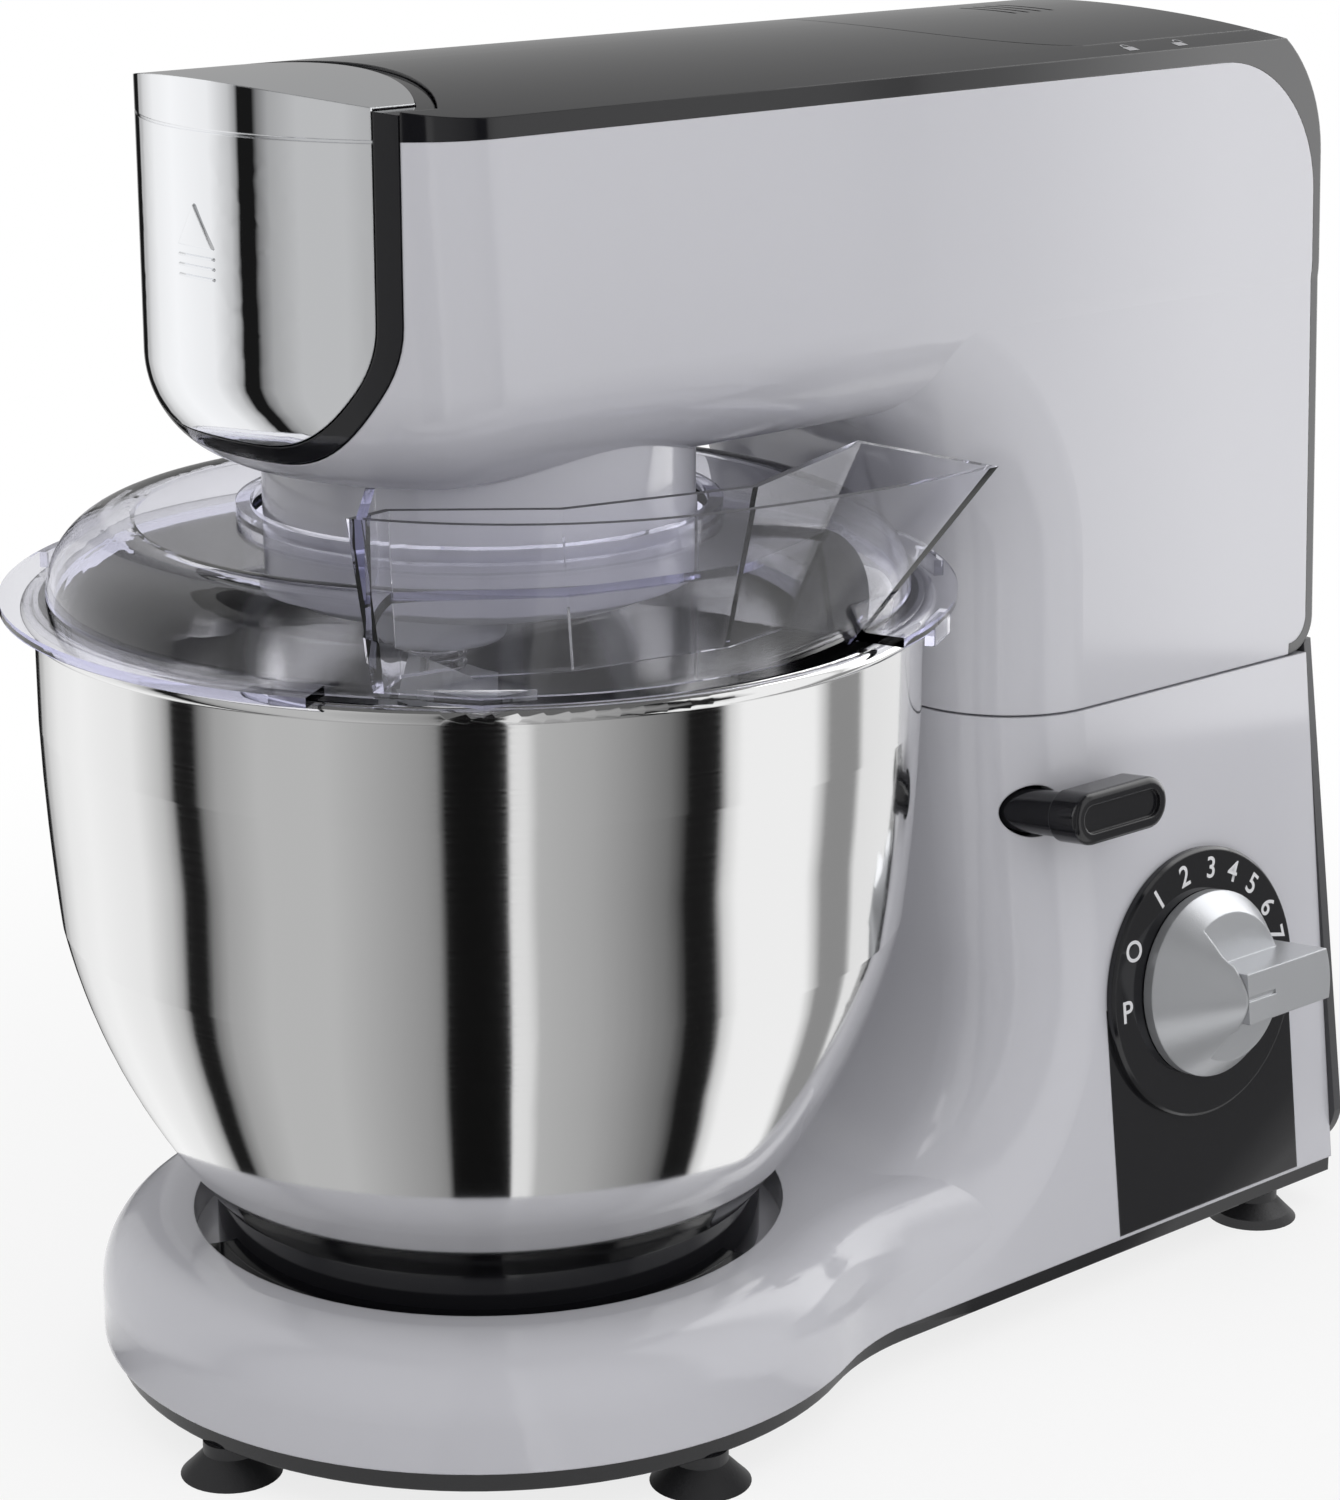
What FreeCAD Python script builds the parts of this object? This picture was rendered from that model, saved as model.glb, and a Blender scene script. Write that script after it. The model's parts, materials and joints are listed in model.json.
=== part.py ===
"""Stand mixer with a tilting head, a twist-locked bowl and a clear splash lid.

Lengths are millimetres. The front is -Y, the dial is on the +X side and the feet stand on Z = 0.
Shapes are drawn about the bowl's axis and then moved, so that the origin is on the front foot's lip.
"""
import FreeCAD, Part
import math
import os
import re
import Sketcher

V = FreeCAD.Vector

# Driving sizes: name, value, what it is
SIZES = [
    ("bowl_r", 110.0, "outer radius of the bowl's upper wall"),
    ("bowl_wall", 1.2, "sheet of the bowl"),
    ("bowl_rim_z", 206.6, "top of the bowl's rolled rim"),
    ("rim_bead", 1.9, "radius of the rolled rim"),
    ("bowl_foot_r", 71.2, "radius where the steel meets the black bowl base"),
    ("bowl_foot_z", 53.3, "height where the steel meets the black bowl base"),
    ("bowl_base_h", 16.6, "height of the black bowl base"),
    ("seat_r", 76.5, "radius of the seat in the foot"),
    ("seat_z", 36.5, "floor of the seat in the foot"),
    ("foot_r", 100.5, "plan radius of the round foot"),
    ("foot_top", 45.0, "top of the round foot"),
    ("foot_round", 18.0, "rounding of the foot's upper edge"),
    ("waist_r", 75.0, "hollow blend between the round foot and the column"),
    ("side_x", 84.5, "half width of the base at its bottom edge"),
    ("plate_z", 9.0, "underside of the bottom plate"),
    ("plate_h", 6.0, "thickness of the bottom plate"),
    ("plate_inset", 3.2, "step from the base's edge in to the bottom plate"),
    ("cup_r", 12.6, "radius of a suction foot"),
    ("front_cup_y", 91.0, "front suction foot, ahead of the bowl's axis"),
    ("parting_z", 162.0, "height of the joint between base and head"),
    ("parting_gap", 0.6, "gap at that joint"),
    ("column_x", 66.5, "half width of the column at the parting"),
    ("column_front", 121.0, "front of the column, from the bowl's axis"),
    ("column_corner", 30.0, "rounding of the column's front corners"),
    ("flare", 50.0, "radius of the column's sweep into the foot"),
    ("arch", 45.0, "radius of the arch between column and arm"),
    ("back_y", 246.0, "rear plane, from the bowl's axis"),
    ("rear_sheet", 3.0, "thickness of the rear panels"),
    ("wall", 3.2, "wall of the moulded shells"),
    ("top_x", 60.0, "half width of the head at the white shell's top"),
    ("white_top", 327.0, "top of the white head shell"),
    ("head_top", 338.5, "crown of the black top cover"),
    ("crown_r", 270.0, "radius of the crown across the head"),
    ("cover_skin", 8.5, "black top cover, from its crown down to its hollow"),
    ("cap_crown", 7.5, "chrome nose cap, from the crown down to its hollow"),
    ("arm_z", 244.0, "underside of the arm"),
    ("arm_round", 26.0, "rounding of the arm's lower edges"),
    ("nose_r", 75.0, "plan radius of the nose"),
    ("nose_y", -7.0, "centre of the nose's radius, from the bowl's axis"),
    ("nose_corner", 30.0, "plan rounding from the nose into the sides"),
    ("rear_round", 40.0, "rounding of the head's top rear corner"),
    ("cap_x", 46.0, "half width of the chrome nose cap"),
    ("cap_z", 256.0, "bottom of the chrome nose cap"),
    ("cap_round", 30.0, "rounding of the cap's lower corners"),
    ("band_w", 4.6, "width of the black band round the cap"),
    ("cap_back", -39.0, "rear edge of the cap's top on the centre line"),
    ("cap_back_r", 79.0, "radius of that rear edge"),
    ("cap_skin", 2.4, "wall of the cap"),
    ("bulkhead_y", -45.0, "front face of the wall behind the cap"),
    ("neck_r", 53.5, "radius of the neck below the arm"),
    ("neck_z", 213.0, "bottom of the neck"),
    ("pivot_y", 236.0, "head hinge, from the bowl's axis"),
    ("pivot_z", 172.0, "head hinge, height"),
    ("pin_r", 3.5, "radius of the hinge pin"),
    ("knuckle_half", 18.0, "half length of the base's hinge knuckle"),
    ("hatch_front", 121.0, "front edge of the rear outlet cover"),
    ("hatch_x", 50.5, "half width of the rear outlet cover"),
    ("hatch_z", 288.0, "lower edge of the rear outlet cover at the back"),
    ("hatch_bow", 52.0, "radius of the rear outlet cover's front edge"),
    ("seam", 0.4, "seam between covers"),
    ("fit", 0.04, "running fit of shafts and bores, on the radius"),
    ("lid_r", 118.4, "radius of the lid's flange"),
    ("lid_z", 207.4, "underside of the lid's flange"),
    ("lid_wall", 2.4, "wall of the lid"),
    ("dome_r", 107.0, "radius of the lid's dome at the flange"),
    ("dome_z", 228.0, "top of the lid's dome"),
    ("crease_r", 85.7, "radius of the crease round the lid's flat top"),
    ("hole_r", 56.4, "radius of the hole for the neck"),
    ("chute_z", 247.0, "rim of the pouring chute"),
    ("chute_wall", 2.2, "wall of the pouring chute"),
    ("dial_y", 190.0, "dial centre, from the bowl's axis"),
    ("dial_z", 79.0, "dial centre, height"),
    ("dial_r", 37.5, "radius of the dial ring"),
    ("dial_h", 2.4, "thickness of the dial ring"),
    ("knob_r", 25.8, "radius of the knob"),
    ("knob_h", 9.0, "height of the knob's round base"),
    ("grip_h", 13.5, "height of the grip above the knob's pockets"),
    ("grip_w", 14.0, "width of the grip"),
    ("strip_h", 0.9, "thickness of the black inlay below the dial"),
    ("lever_y", 134.6, "release lever, from the bowl's axis"),
    ("lever_z", 137.0, "release lever, height"),
    ("stem_r", 6.0, "radius of the lever's stem"),
    ("lever_len", 36.0, "length of the lever's cap"),
    ("lever_wide", 14.0, "height of the lever's cap"),
    ("lever_out", 6.5, "gap between the base and the lever's cap"),
    ("lever_deep", 10.0, "depth of the lever's cap"),
    ("gear_m", 1.2, "module of the planetary gears"),
    ("train_m", 1.25, "module of the drive gears"),
    ("bevel_m", 1.5, "module of the bevel gears"),
    ("shaft_r", 6.0, "radius of the main shaft"),
    ("spindle_r", 5.0, "radius of the tool spindle"),
    ("hub_r", 46.0, "radius of the planet hub"),
    ("hub_z", 209.0, "underside of the planet hub"),
    ("boss_r", 17.0, "radius of the hub's boss round the spindle"),
    ("boss_z", 201.4, "bottom of that boss"),
    ("tool_z", 192.0, "top of the beater's block"),
    ("tool_bottom", 60.0, "lowest point of the beater"),
    ("beater_x", 47.0, "half width of the beater"),
    ("beater_bar", 7.0, "bar of the beater"),
    ("spring_wire", 1.1, "wire of the spindle spring"),
    ("spring_r", 6.7, "mean radius of the spindle spring"),
    ("motor_y", 186.0, "motor axis, from the bowl's axis"),
    ("rotor_r", 21.0, "radius of the armature"),
    ("motor_shaft_r", 4.0, "radius of the motor shaft"),
    ("belt_z", 264.0, "underside of the drive belt"),
    ("belt_w", 9.0, "width of the drive belt"),
    ("belt_h", 2.0, "thickness of the drive belt"),
    ("small_pulley_r", 9.0, "radius of the motor pulley"),
    ("large_pulley_r", 25.0, "radius of the large pulley"),
]

# Counts of teeth and turns
RING_TEETH = 60
PLANET_TEETH = 17
MAIN_TEETH = 56
LAY_TEETH = 15
BEVEL_TEETH = 18
SPRING_TURNS = 2
ROTOR_SLOTS = 12
FAN_BLADES = 9

doc = FreeCAD.newDocument("StandMixer")
sheet = doc.addObject("Spreadsheet::Sheet", "Sizes")
for row, (alias, value, meaning) in enumerate(SIZES, start=1):
    sheet.set("A%d" % row, alias)
    sheet.set("B%d" % row, str(value))
    sheet.set("C%d" % row, meaning)
    sheet.setAlias("B%d" % row, alias)
doc.recompute()

NAMES = set(alias for alias, value, meaning in SIZES)
PARTS = []


def size(alias):
    """The value of one cell."""
    return float(sheet.get(alias))


def bind(words):
    """Turn plain names into references to the sheet's cells."""
    def linked(match):
        return "Sizes." + match.group(0) if match.group(0) in NAMES else match.group(0)

    return re.sub(r"[a-z][a-z_]+", linked, words)


def number(words):
    """What such an expression comes to."""
    return float(sheet.evalExpression(bind(words)))


AXIS_Y = size("front_cup_y")
HOME = V(0, AXIS_Y, 0)


def keep(label, shape):
    """A sub-part whose form is worked out here, moved from the bowl's axis to the part's frame."""
    solids = shape.Solids
    if not solids:
        raise RuntimeError("no solid in " + label)
    thing = doc.addObject("Part::Feature", label)
    thing.Label = label
    thing.Shape = solids[0] if len(solids) == 1 else Part.makeCompound(solids)
    thing.Placement = FreeCAD.Placement(HOME, FreeCAD.Rotation()).multiply(thing.Placement)
    PARTS.append(thing)
    return thing


def lathe(label, corners, place=V(0, 0, 0), turn=FreeCAD.Rotation()):
    """A turned sub-part: a sketch of (radius, height) corners bound to the sheet, revolved upright."""
    body = doc.addObject("PartDesign::Body", label)
    body.Label = label
    sketch = body.newObject("Sketcher::SketchObject", label + "_profile")
    plane = [f for f in body.Origin.OriginFeatures if f.Role == "XZ_Plane"][0]
    sketch.AttachmentSupport = [(plane, "")]
    sketch.MapMode = "FlatFace"
    points = [V(number(r), number(z), 0) for r, z in corners]
    count = len(points)
    for i in range(count):
        sketch.addGeometry(Part.LineSegment(points[i], points[(i + 1) % count]))
    for i in range(count):
        sketch.addConstraint(Sketcher.Constraint("Coincident", i, 2, (i + 1) % count, 1))
    for i, (r, z) in enumerate(corners):
        for kind, words, here, axis in (("DistanceX", r, points[i].x, -2), ("DistanceY", z, points[i].y, -1)):
            if abs(here) < 1e-9:
                sketch.addConstraint(Sketcher.Constraint("PointOnObject", i, 1, axis))
            else:
                at = sketch.addConstraint(Sketcher.Constraint(kind, -1, 1, i, 1, here))
                sketch.setExpression("Constraints[%d]" % at, bind(words))
    turned = body.newObject("PartDesign::Revolution", label + "_turned")
    turned.Profile = sketch
    turned.ReferenceAxis = (sketch, ["V_Axis"])
    turned.Angle = 360
    body.Placement = FreeCAD.Placement(HOME + place, turn)
    PARTS.append(body)
    return body


def tube(radius, z0, z1, x=0.0, y=0.0):
    """A plain upright cylinder."""
    return Part.makeCylinder(radius, z1 - z0, V(x, y, z0))


def block(x0, x1, y0, y1, z0, z1):
    """A plain box between two corners."""
    return Part.makeBox(x1 - x0, y1 - y0, z1 - z0, V(x0, y0, z0))


def outline(points):
    """A closed wire of lines; a point given as a pair of points is the middle and end of an arc."""
    edges = []
    first = points[0]
    here = first
    for item in list(points[1:]) + [first]:
        if isinstance(item, tuple):
            edges.append(Part.Arc(here, item[0], item[1]).toShape())
            here = item[1]
        elif (item - here).Length > 1e-6:
            edges.append(Part.LineSegment(here, item).toShape())
            here = item
    return Part.Wire(edges)


def prism(wire, way):
    """A flat outline pushed along a vector."""
    return Part.Face(wire).extrude(way)


# Widths that lean in with height

def base_half(z):
    """Half width of the base at a height."""
    low = size("plate_z") + size("plate_h")
    share = (z - low) / (size("parting_z") - low)
    return size("side_x") + (size("column_x") - size("side_x")) * share


def head_half(z):
    """Half width of the head at a height."""
    share = (z - size("parting_z")) / (size("white_top") - size("parting_z"))
    return size("column_x") + (size("top_x") - size("column_x")) * share


def on_circle(centre, radius, degrees, z):
    """A point of a level circle."""
    a = math.radians(degrees)
    return V(centre[0] + radius * math.cos(a), centre[1] + radius * math.sin(a), z)


# Round foot, waist and column of the white base

PLATE_TOP = size("plate_z") + size("plate_h")
WHITE_BACK = size("back_y") - size("rear_sheet")
BASE_TOP = size("parting_z") - size("parting_gap")


def foot_section(radius, half, end, z):
    """Plan of the foot: a round front, hollow waists and straight sides that run to end."""
    hollow = size("waist_r")
    bend = math.degrees(math.acos((half + hollow) / (radius + hollow)))
    waist_y = (radius + hollow) * math.sin(math.radians(bend))
    right = (half + hollow, waist_y)
    left = (-half - hollow, waist_y)
    return outline([
        V(half, end, z),
        V(-half, end, z),
        V(-half, waist_y, z),
        (on_circle(left, hollow, -bend / 2, z), on_circle((0, 0), radius, 180 - bend, z)),
        (V(0, -radius, z), on_circle((0, 0), radius, bend, z)),
        (on_circle(right, hollow, 180 + bend / 2, z), V(half, waist_y, z)),
    ])


def lean_block(half, low, high, y0, y1):
    """A block whose two sides lean as half says, between two heights."""
    wide = half(low)
    slim = half(high)
    ends = [V(wide, y0, low), V(slim, y0, high), V(-slim, y0, high), V(-wide, y0, low)]
    return prism(Part.makePolygon(ends + [ends[0]]), V(0, y1 - y0, 0))


def round_front(form, half, back, radius):
    """Round the two front corners of a leaning column from top to bottom."""
    edges = []
    for e in form.Edges:
        mid = e.valueAt((e.FirstParameter + e.LastParameter) / 2)
        ends = [v.Point for v in e.Vertexes]
        on_side_face = all(abs(abs(q.x) - half(q.z)) < 0.01 for q in ends + [mid])
        runs_along = (ends[0] - ends[-1]).Length > 1 and ends[0].x * ends[-1].x > 0
        if on_side_face and runs_along and mid.y < back - 1:
            if max(q.z for q in ends) - min(q.z for q in ends) > 1:
                edges.append(e)
    return form.makeFillet(radius, edges)


def swept_column(half, front, back, sweep, start, way, corner, low, high):
    """A leaning column whose front sweeps forward at one end: way is -1 at the foot and 1 under the arm."""
    steep = math.radians(76)
    run = 640.0
    middle = V(0, front - sweep, start)
    half_way = middle + V(0, math.cos(steep / 2), way * math.sin(steep / 2)) * sweep
    end = middle + V(0, math.cos(steep), way * math.sin(steep)) * sweep
    last = end + V(0, -math.sin(steep), way * math.cos(steep)) * run
    plain = high if way < 0 else low
    side = outline([V(-150, back, last.z), V(-150, back, plain), V(-150, front, plain), V(-150, front, start),
                    (half_way + V(-150, 0, 0), end + V(-150, 0, 0)), last + V(-150, 0, 0)])
    form = prism(side, V(300, 0, 0))
    form = form.common(lean_block(half, min(plain, last.z), max(plain, last.z), -900, back + 1))
    form = round_front(form, half, back, corner)
    return form.common(block(-200, 200, -900, 400, low, high))


def base_column(inset, low, high):
    """The base column between two heights, drawn in by inset, its front swept forward into the foot."""
    sweep = size("flare")
    return swept_column(lambda z: base_half(z) - inset, size("column_front") + inset, WHITE_BACK - inset,
                        sweep + inset, size("foot_top") - 1.5 + sweep, -1,
                        size("column_corner") - inset, low, high)


def base_outer():
    """Outer form of the white base."""
    end = size("column_front") + size("column_corner")
    sunk = 0.5
    low = foot_section(size("foot_r"), base_half(PLATE_TOP) - sunk, end, PLATE_TOP)
    high = foot_section(size("foot_r"), base_half(size("foot_top")) - sunk, end, size("foot_top"))
    foot = Part.makeLoft([low, high], True, True)
    rim = [e for e in foot.Edges if min(v.Z for v in e.Vertexes) > size("foot_top") - 0.01
           and max(v.Y for v in e.Vertexes) < end - 0.01 or len(e.Vertexes) == 1]
    rim += [e for e in foot.Edges if all(v.Z > size("foot_top") - 0.01 for v in e.Vertexes)
            and abs(e.Vertexes[0].X) > 1 and abs(e.Vertexes[0].X - e.Vertexes[-1].X) < 0.01]
    unique = []
    for e in rim:
        if not any(e.isSame(u) for u in unique):
            unique.append(e)
    foot = foot.makeFillet(size("foot_round"), unique)
    return foot.fuse(base_column(0.0, PLATE_TOP, BASE_TOP)).removeSplitter()


SIDE_TURN = math.degrees(math.atan2(size("side_x") - size("column_x"), size("parting_z") - PLATE_TOP))


def side_place(y, z, out=0.0):
    """A frame on the base's right side: its Z is the outward normal there, its X runs to the rear."""
    normal = V(math.cos(math.radians(SIDE_TURN)), 0, math.sin(math.radians(SIDE_TURN)))
    back = V(0, 1, 0)
    up = normal.cross(back)
    spin = FreeCAD.Rotation(back, up, normal)
    return FreeCAD.Placement(V(base_half(z), y, z) + normal * out, spin)


def on_side(shape, y, z, out=0.0):
    """A shape drawn flat, set on the base's right side."""
    moved = shape.copy()
    moved.Placement = side_place(y, z, out)
    return moved


STRIP_DEEP = size("strip_h") - 0.2
DIAL_REACH = size("dial_z") - PLATE_TOP


def strip_form(grow, z0, z1):
    """The black inlay from the dial's centre to the base's bottom edge."""
    half = size("dial_r") + grow
    return block(-half, half, -DIAL_REACH / math.cos(math.radians(SIDE_TURN)) - grow + 1.0, grow, z0, z1)


def pin_along_x(radius, x0, x1, y, z):
    """A cylinder along X."""
    return Part.makeCylinder(radius, x1 - x0, V(x0, y, z), V(1, 0, 0))


GLAND = (-48.0, 38.0)
GLAND_R = 6.5


def base_shell():
    """White base moulding, hollow from below, with the bowl's seat and openings for dial and lever."""
    wall = size("wall")
    shell = base_outer()
    shell = shell.cut(tube(size("seat_r"), size("seat_z"), size("foot_top") + 30))
    under = size("seat_z") - wall
    shell = shell.cut(tube(size("foot_r") - 5.0, PLATE_TOP - 1, under))
    half = base_half(under) - wall
    end = size("column_front") + size("column_corner")
    shell = shell.cut(block(-half, half, 0, end, PLATE_TOP - 1, under))
    behind = block(-200, 200, size("seat_r") + 12, 400, 0, 300)
    shell = shell.cut(base_column(wall, PLATE_TOP, BASE_TOP - 5.0).common(behind))
    shell = shell.cut(on_side(strip_form(0.1, -STRIP_DEEP, 5), size("dial_y"), size("dial_z")))
    shell = shell.cut(on_side(tube(6.0, -20, 20), size("dial_y"), size("dial_z")))
    shell = shell.cut(on_side(tube(size("stem_r") + 1.0, -30, 30), size("lever_y"), size("lever_z")))
    # slot for the hinge knuckle and well for the head's striker
    half = size("knuckle_half") + 0.5
    shell = shell.cut(block(-half, half, size("pivot_y") - 24, WHITE_BACK + 1, BASE_TOP - 9, BASE_TOP + 1))
    shell = shell.cut(block(26, 44, size("lever_y") - 8, size("lever_y") + 22, BASE_TOP - 9, BASE_TOP + 1))
    gland = Part.makeCylinder(GLAND_R + 0.1, 20, V(GLAND[0], WHITE_BACK - 15, GLAND[1]), V(0, 1, 0))
    return shell.cut(gland)


keep("base_shell", base_shell())


def bottom_plate():
    """Black plate under the base, with vent slots below the column."""
    inset = size("plate_inset")
    wire = foot_section(size("foot_r") - inset, size("side_x") - inset, size("back_y"), size("plate_z"))
    plate = prism(wire, V(0, 0, size("plate_h")))
    for k in range(7):
        y = size("column_front") + 22 + 9.0 * k
        plate = plate.cut(block(-30, 30, y, y + 3.0, size("plate_z") - 1, PLATE_TOP + 1))
    return plate


keep("bottom_plate", bottom_plate())

# Five suction feet under the bottom plate
FEET = [(10.5, -AXIS_Y), (91.0, -8.0), (-91.0, -8.0), (74.0, 221.0), (-74.0, 221.0)]


def suction_foot(x, y):
    """A rubber cup: wide soft lip, narrow waist, and a plug up to the plate."""
    lip = size("cup_r")
    top = size("plate_z")
    wire = outline([
        V(0, 0, 1.6), V(lip - 3.0, 0, 0), V(lip, 0, 0),
        (V(lip - 2.6, 0, 2.6), V(lip * 0.55, 0, top - 3.2)),
        V(lip * 0.55, 0, top), V(0, 0, top),
    ])
    cup = Part.Face(wire).revolve(V(0, 0, 0), V(0, 0, 1), 360)
    cup.translate(V(x, y, 0))
    return cup


keep("suction_feet", Part.makeCompound([suction_foot(x, y) for x, y in FEET]))


def rear_panel():
    """Dark rear panel of the base, with rounded lower corners and a lip round the head's rear corner."""
    y0 = WHITE_BACK
    low = PLATE_TOP
    lip = size("parting_z") + 3.0
    corner = 14.0
    half = base_half(low) - 0.6
    bend = corner * math.sqrt(0.5)
    top = base_half(lip) - 0.6
    wire = outline([
        V(top, y0, lip), V(-top, y0, lip),
        V(corner - half - 0.9, y0, low + corner) + V(-corner, 0, 0),
        (V(corner - half - bend, y0, low + corner - bend), V(corner - half, y0, low)),
        V(half - corner, y0, low),
        (V(half - corner + bend, y0, low + corner - bend), V(half + 0.9, y0, low + corner)),
    ])
    panel = prism(wire, V(0, size("rear_sheet"), 0))
    reach = size("back_y") - size("pivot_y")
    panel = panel.cut(pin_along_x(reach + size("parting_gap"), -100, 100, size("pivot_y"), size("pivot_z")))
    half = size("knuckle_half") + 0.5
    panel = panel.cut(block(-half, half, y0 - 1, size("back_y") + 1, BASE_TOP - 9, lip + 1))
    hole = Part.makeCylinder(GLAND_R + 0.1, 20, V(GLAND[0], y0 - 10, GLAND[1]), V(0, 1, 0))
    panel = panel.cut(hole)
    for k in range(6):
        z = 58.0 + 7.0 * k
        panel = panel.cut(block(-32, 32, y0 - 1, size("back_y") + 1, z, z + 2.6))
    return panel


keep("rear_panel", rear_panel())


def cable_gland():
    """Bush for the mains lead in the rear wall."""
    length = size("rear_sheet") + size("wall") + 4.0
    y0 = size("back_y") - length
    outer = Part.makeCylinder(GLAND_R, length, V(GLAND[0], y0, GLAND[1]), V(0, 1, 0))
    flange = Part.makeCylinder(GLAND_R + 2.0, 3.6, V(GLAND[0], y0, GLAND[1]), V(0, 1, 0))
    bore = Part.makeCylinder(3.6, length + 2, V(GLAND[0], y0 - 1, GLAND[1]), V(0, 1, 0))
    return outer.fuse(flange).cut(bore)


keep("cable_gland", cable_gland())

# Black inlay, dial ring, knob and its shaft on the right side


def control_strip():
    """Black inlay below the dial, let into the base's side."""
    strip = strip_form(0.0, -STRIP_DEEP, size("strip_h") - STRIP_DEEP)
    return on_side(strip.cut(tube(7.0, -5, 5)), size("dial_y"), size("dial_z"))


keep("control_strip", control_strip())


def dial_ring():
    """Flat black ring with the speed marks, stepped to bridge the inlay's edge."""
    low = size("strip_h") - STRIP_DEEP + 0.02
    ring = tube(size("dial_r"), low, low + size("dial_h"))
    rims = [e for e in ring.Edges if len(e.Vertexes) == 1 and e.Vertexes[0].Z > low + 1]
    ring = ring.makeChamfer(0.8, rims)
    return on_side(ring.cut(tube(7.0, -5, 20)), size("dial_y"), size("dial_z"))


keep("dial_ring", dial_ring())

RING_FACE = size("strip_h") - STRIP_DEEP + 0.02 + size("dial_h")
GRIP_ANGLE = 155.0


def speed_knob():
    """Knob: a coned disc with a pocket either side of a tall grip bar that runs down the cone."""
    radius = size("knob_r")
    low = RING_FACE + 0.3
    floor = low + size("knob_h")
    top = floor + size("grip_h")
    bar = size("grip_w") / 2
    crest = 9.0
    wire = outline([V(0, 0, low), V(radius, 0, low), V(radius, 0, low + 3.0), V(crest, 0, top), V(0, 0, top)])
    knob = Part.Face(wire).revolve(V(0, 0, 0), V(0, 0, 1), 360)
    grip = block(-crest + 0.2, radius, -bar, bar, low + 1, top).common(tube(radius - 0.2, low, top))
    knob = knob.common(tube(radius, low, floor).fuse(block(-radius, -crest, -radius, radius, low, top)))
    knob = knob.fuse(grip)
    bend = 5.0
    for side in (1, -1):
        y0 = side * bar
        pocket = outline([
            V(2 * radius, y0, floor), V(2 * radius, side * 2 * radius, floor),
            V(-crest - 1, side * 2 * radius, floor),
            V(-crest - 1, y0 + side * bend, floor),
            (V(-crest - 1 + bend * 0.2929, y0 + side * bend * 0.2929, floor),
             V(-crest - 1 + bend, y0, floor)),
        ])
        knob = knob.cut(prism(pocket, V(0, 0, 40)))
    knob = knob.cut(block(-crest + 0.4, 2.5, -0.6, 0.6, top - 0.6, top + 1))
    knob = knob.cut(tube(4.0 + size("fit"), low - 1, low + 8))
    knob = knob.removeSplitter()
    knob.rotate(V(0, 0, 0), V(0, 0, 1), GRIP_ANGLE - 180)
    return on_side(knob, size("dial_y"), size("dial_z"))


keep("speed_knob", speed_knob())
SWITCH_DEEP = -14.0
keep("knob_shaft", on_side(tube(4.0, SWITCH_DEEP - 6, RING_FACE + 8), size("dial_y"), size("dial_z")))


def speed_switch():
    """Rotary speed switch behind the wall, round the knob's shaft."""
    body = block(-20, 20, -20, 20, SWITCH_DEEP - 22, SWITCH_DEEP)
    neck = tube(5.8, SWITCH_DEEP, -1.0)
    bore = tube(4.0 + size("fit"), SWITCH_DEEP - 7, 0)
    return on_side(body.fuse(neck).cut(bore), size("dial_y"), size("dial_z"))


keep("speed_switch", speed_switch())


def control_board():
    """Motor control board on the switch's inner face."""
    deep = SWITCH_DEEP - 22
    return on_side(block(-36, 36, -30, 34, deep - 1.6, deep), size("dial_y"), size("dial_z"))


keep("control_board", control_board())


def release_lever():
    """Head release: a stem through the wall with a long oval cap outside."""
    out = size("lever_out")
    half = size("lever_wide") / 2
    run = size("lever_len") - 2 * half
    cap = tube(half, out, out + size("lever_deep"))
    cap = cap.fuse(tube(half, out, out + size("lever_deep"), run, 0))
    cap = cap.fuse(block(0, run, -half, half, out, out + size("lever_deep"))).removeSplitter()
    face = [e for e in cap.Edges if all(v.Z > out + size("lever_deep") - 0.01 for v in e.Vertexes)]
    cap = cap.makeFillet(1.6, face)
    dish = half - 3.2
    top = out + size("lever_deep")
    cut = tube(dish, top - 1.2, top + 1).fuse(tube(dish, top - 1.2, top + 1, run, 0))
    cap = cap.cut(cut.fuse(block(0, run, -dish, dish, top - 1.2, top + 1)))
    stem = tube(size("stem_r"), -20, out + 1)
    return on_side(cap.fuse(stem).removeSplitter(), size("lever_y"), size("lever_z"))


keep("release_lever", release_lever())


def latch_cam():
    """Cam on the inner end of the lever's stem, beside the head's striker."""
    cam = tube(7.5, -26, -20).fuse(block(0, 9, -9, -3, -26, -20))
    return on_side(cam, size("lever_y"), size("lever_z"))


keep("latch_cam", latch_cam())

# Head hinge: knuckle on the base, two knuckles on the head, one pin


def base_knuckle():
    """Base hinge knuckle: a barrel on a web that stands on the base's inside."""
    half = size("knuckle_half")
    barrel = pin_along_x(9.4, -half, half, size("pivot_y"), size("pivot_z"))
    y0 = size("pivot_y") - 8.0
    web = block(-half, half, y0, WHITE_BACK - size("wall") - 0.1, 110, size("pivot_z"))
    web = web.cut(pin_along_x(size("back_y") - size("pivot_y") + 0.6, -50, 50, size("pivot_y"), size("pivot_z"))
                  .cut(pin_along_x(9.0, -50, 50, size("pivot_y"), size("pivot_z")))
                  .common(block(-50, 50, size("pivot_y") + 2, 300, 160, 200)))
    bore = pin_along_x(size("pin_r") + size("fit"), -60, 60, size("pivot_y"), size("pivot_z"))
    return barrel.fuse(web).cut(bore).removeSplitter()


keep("base_knuckle", base_knuckle())
PIN_HALF = 44.0
keep("hinge_pin", pin_along_x(size("pin_r"), -PIN_HALF, PIN_HALF, size("pivot_y"), size("pivot_z")))


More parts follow.
